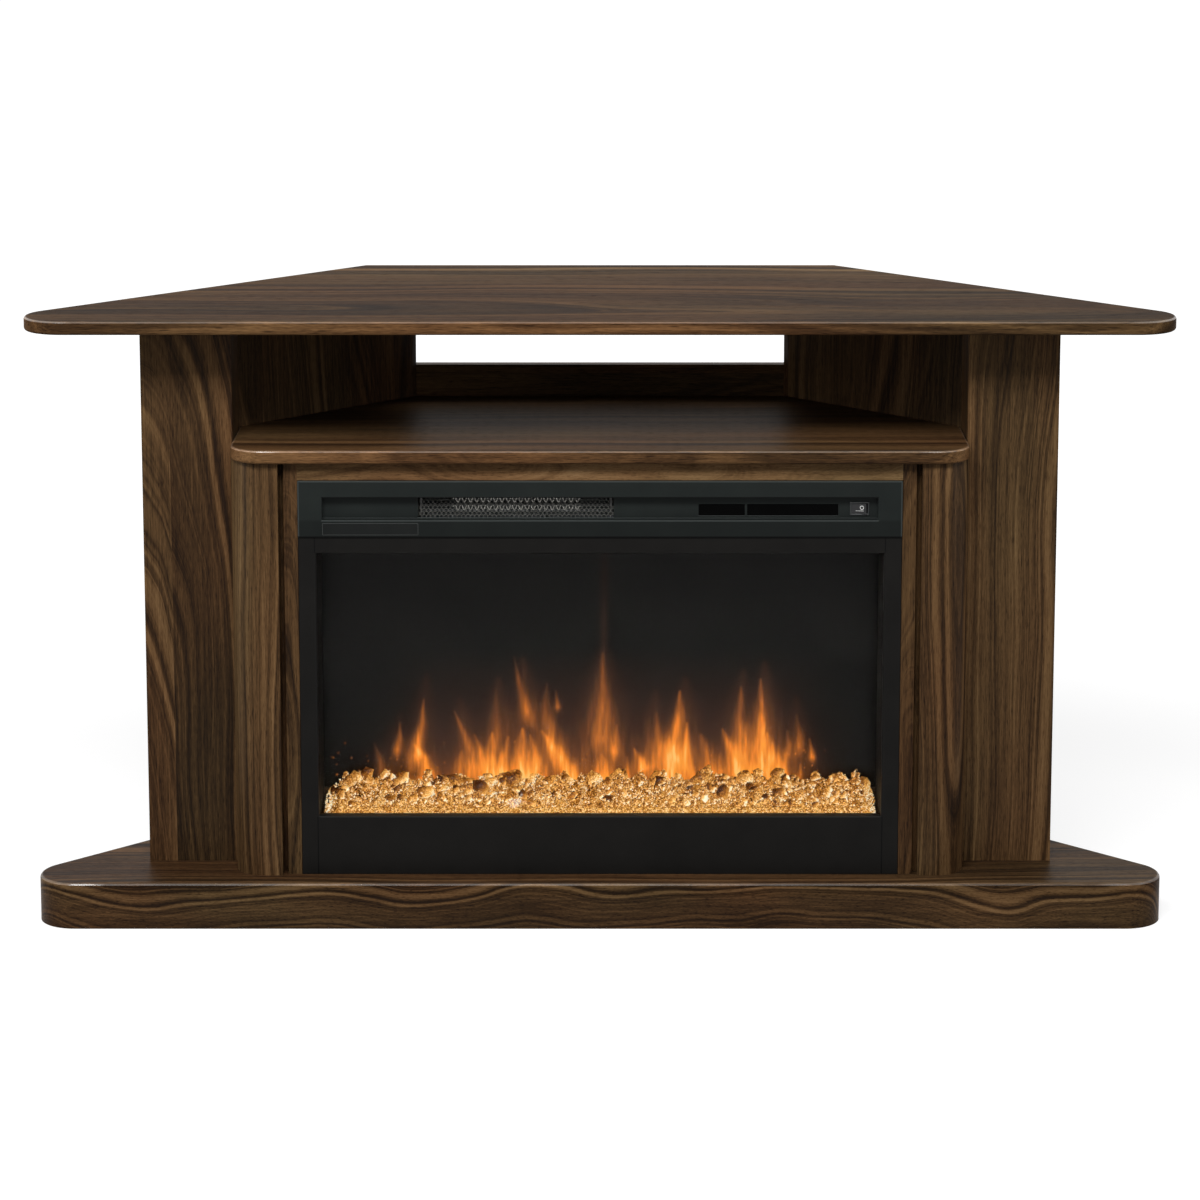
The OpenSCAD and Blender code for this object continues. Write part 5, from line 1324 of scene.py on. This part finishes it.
def scatter(name, count, sizes, shapes, sink, tints, front_share, calm=0.0, ridge=False):
    """count stones on the heap; sink is how far they sit below its skin, in radii."""
    vertices, faces, tint = [], [], []
    total = 0
    small, big = sizes
    for _ in range(count):
        x, y = spot(front_share, ridge)
        top = heap_top(x, y)
        if top is None:
            continue
        radius = small * (big / small) ** (rng.random() ** 1.6) * MM / 2
        level = top - sink * radius
        if y < bed_low.y + AT_PANE:
            level = rng.uniform(bed_low.z + 0.001, top)
        x = inside(x, bed_low.x, bed_high.x, radius * 1.2)
        y = inside(y, bed_low.y, bed_high.y, radius * 1.15)
        shape, triangles = shapes[rng.integers(len(shapes))]
        size = radius * rng.uniform(0.8, 1.15, 3)
        placed = (shape * size) @ random_turn().T + (x, y, level)
        vertices.append(placed)
        faces.append(triangles + total)
        tint.append(np.full(len(placed), rng.choice(tints) + rng.normal() * 0.05))
        total += len(placed)
    mesh = bpy.data.meshes.new(name)
    corners = np.concatenate(faces)
    mesh.vertices.add(total)
    mesh.vertices.foreach_set("co", np.concatenate(vertices).astype(np.float32).ravel())
    mesh.loops.add(corners.size)
    mesh.loops.foreach_set("vertex_index", corners.astype(np.int32).ravel())
    mesh.polygons.add(len(corners))
    mesh.polygons.foreach_set("loop_start", np.arange(0, corners.size, 3, dtype=np.int32))
    mesh.update(calc_edges=True)
    keep_number(mesh, "tint", np.concatenate(tint))
    keep_number(mesh, "calm", np.full(total, calm))
    return put(name, mesh)


print("scatter is ready")


# %% [markdown]
# Glass of this kind glows from the lamps under it and glints from above. A
# painted glow, a glowing colour with a thin gloss over it, does both, and
# needs no refraction, which would take long to render in thousands of small
# stones. The painted glow is paler low down, near the lamps, and darker on
# faces that turn away, as painted shade.

# %% Amber glass
material, tree, shader, vector = new_material("amber_crystal")
tint = add(tree, "Attribute", attribute_name="tint").outputs["Fac"]
calm = add(tree, "Attribute", attribute_name="calm").outputs["Fac"]
depth = noise(tree, vector, 0.35)
facet = add(tree, "TexVoronoi", {"Vector": vector, "Scale": 0.8})
facet = channels(tree, facet.outputs["Color"])[0]
# painted light: the glow is paler low down, near the lamps
low_down = remap(tree, split(tree, vector)[2], 152.0, 120.0)
turned = split(tree, tree.nodes.new("ShaderNodeNewGeometry").outputs["Normal"])
value = swing(tree, facet, scaled(tree, calm, -0.62, 0.62), tint)
value = swing(tree, depth, 0.30, value)
value = scaled(tree, low_down, 0.26, value)
# painted shade: faces that turn away are darker
shaded = scaled(tree, calm, 0.34, 0.14)
value = scaled(tree, turned[0], shaded, value)
value = scaled(tree, turned[2], times(tree, shaded, -0.9), value)
amber = ramp(tree, value, [(0.0, (0.050, 0.012, 0.002)), (0.22, (0.15, 0.045, 0.006)),
                           (0.45, (0.43, 0.165, 0.022)), (0.66, (0.82, 0.41, 0.088)),
                           (0.86, (1.0, 0.71, 0.32)), (1.0, (1.0, 0.94, 0.72))])
# the painted glow is the emission of the stones
fill(tree, shader, {"Emission Color": amber, "Emission Strength": 0.58,
                    "Base Color": mix(tree, 1.0, amber, (0.45, 0.42, 0.40, 1), "MULTIPLY"),
                    "Roughness": scaled(tree, depth, 0.15, 0.04),
                    "Specular IOR Level": 0.22})

LIGHT_TINTS = (0.45, 0.55, 0.62, 0.70, 0.80)
DARK_TINTS = (0.18, 0.32, 0.42, 0.52, 0.66)
RIDGE_TINTS = (0.34, 0.44, 0.52, 0.60, 0.70)
MIXED_TINTS = (0.2, 0.4, 0.5, 0.6, 0.8)
loose_glass = [
    scatter("glass_ridge", 140, (6.0, 24.0), LUMPS, 0.25, RIDGE_TINTS, 0.0, 0.30, True),
    scatter("glass_crumbs", 8200, (1.6, 4.6), STONES, 0.2, LIGHT_TINTS, 0.34),
    scatter("glass_stones", 560, (5.0, 12.0), STONES, 0.25, MIXED_TINTS, 0.14, 0.5),
    scatter("glass_lumps", 120, (11.0, 25.0), LUMPS, 0.35, DARK_TINTS + (0.85,), 0.22, 0.6),
]
# the heap itself lies a little lower and flatter under the loose stones
FLATTEN, FLAT_FROM = 0.12, 0.118
skin = [(v.co.x, v.co.y, shoulder(v.co.x, v.co.z) - FLATTEN * max(v.co.z - FLAT_FROM, 0))
        for v in heap.vertices]
heap_copy = to_object("glass_heap", skin, [tuple(p.vertices) for p in heap.polygons])
keep_number(heap_copy.data, "tint", np.full(len(heap_copy.data.vertices), 0.32))
for piece in [heap_copy] + loose_glass:
    place(piece, material, "amber_crystal", "crystal_bed")
print("faces of loose glass", [len(piece.data.polygons) for piece in loose_glass])
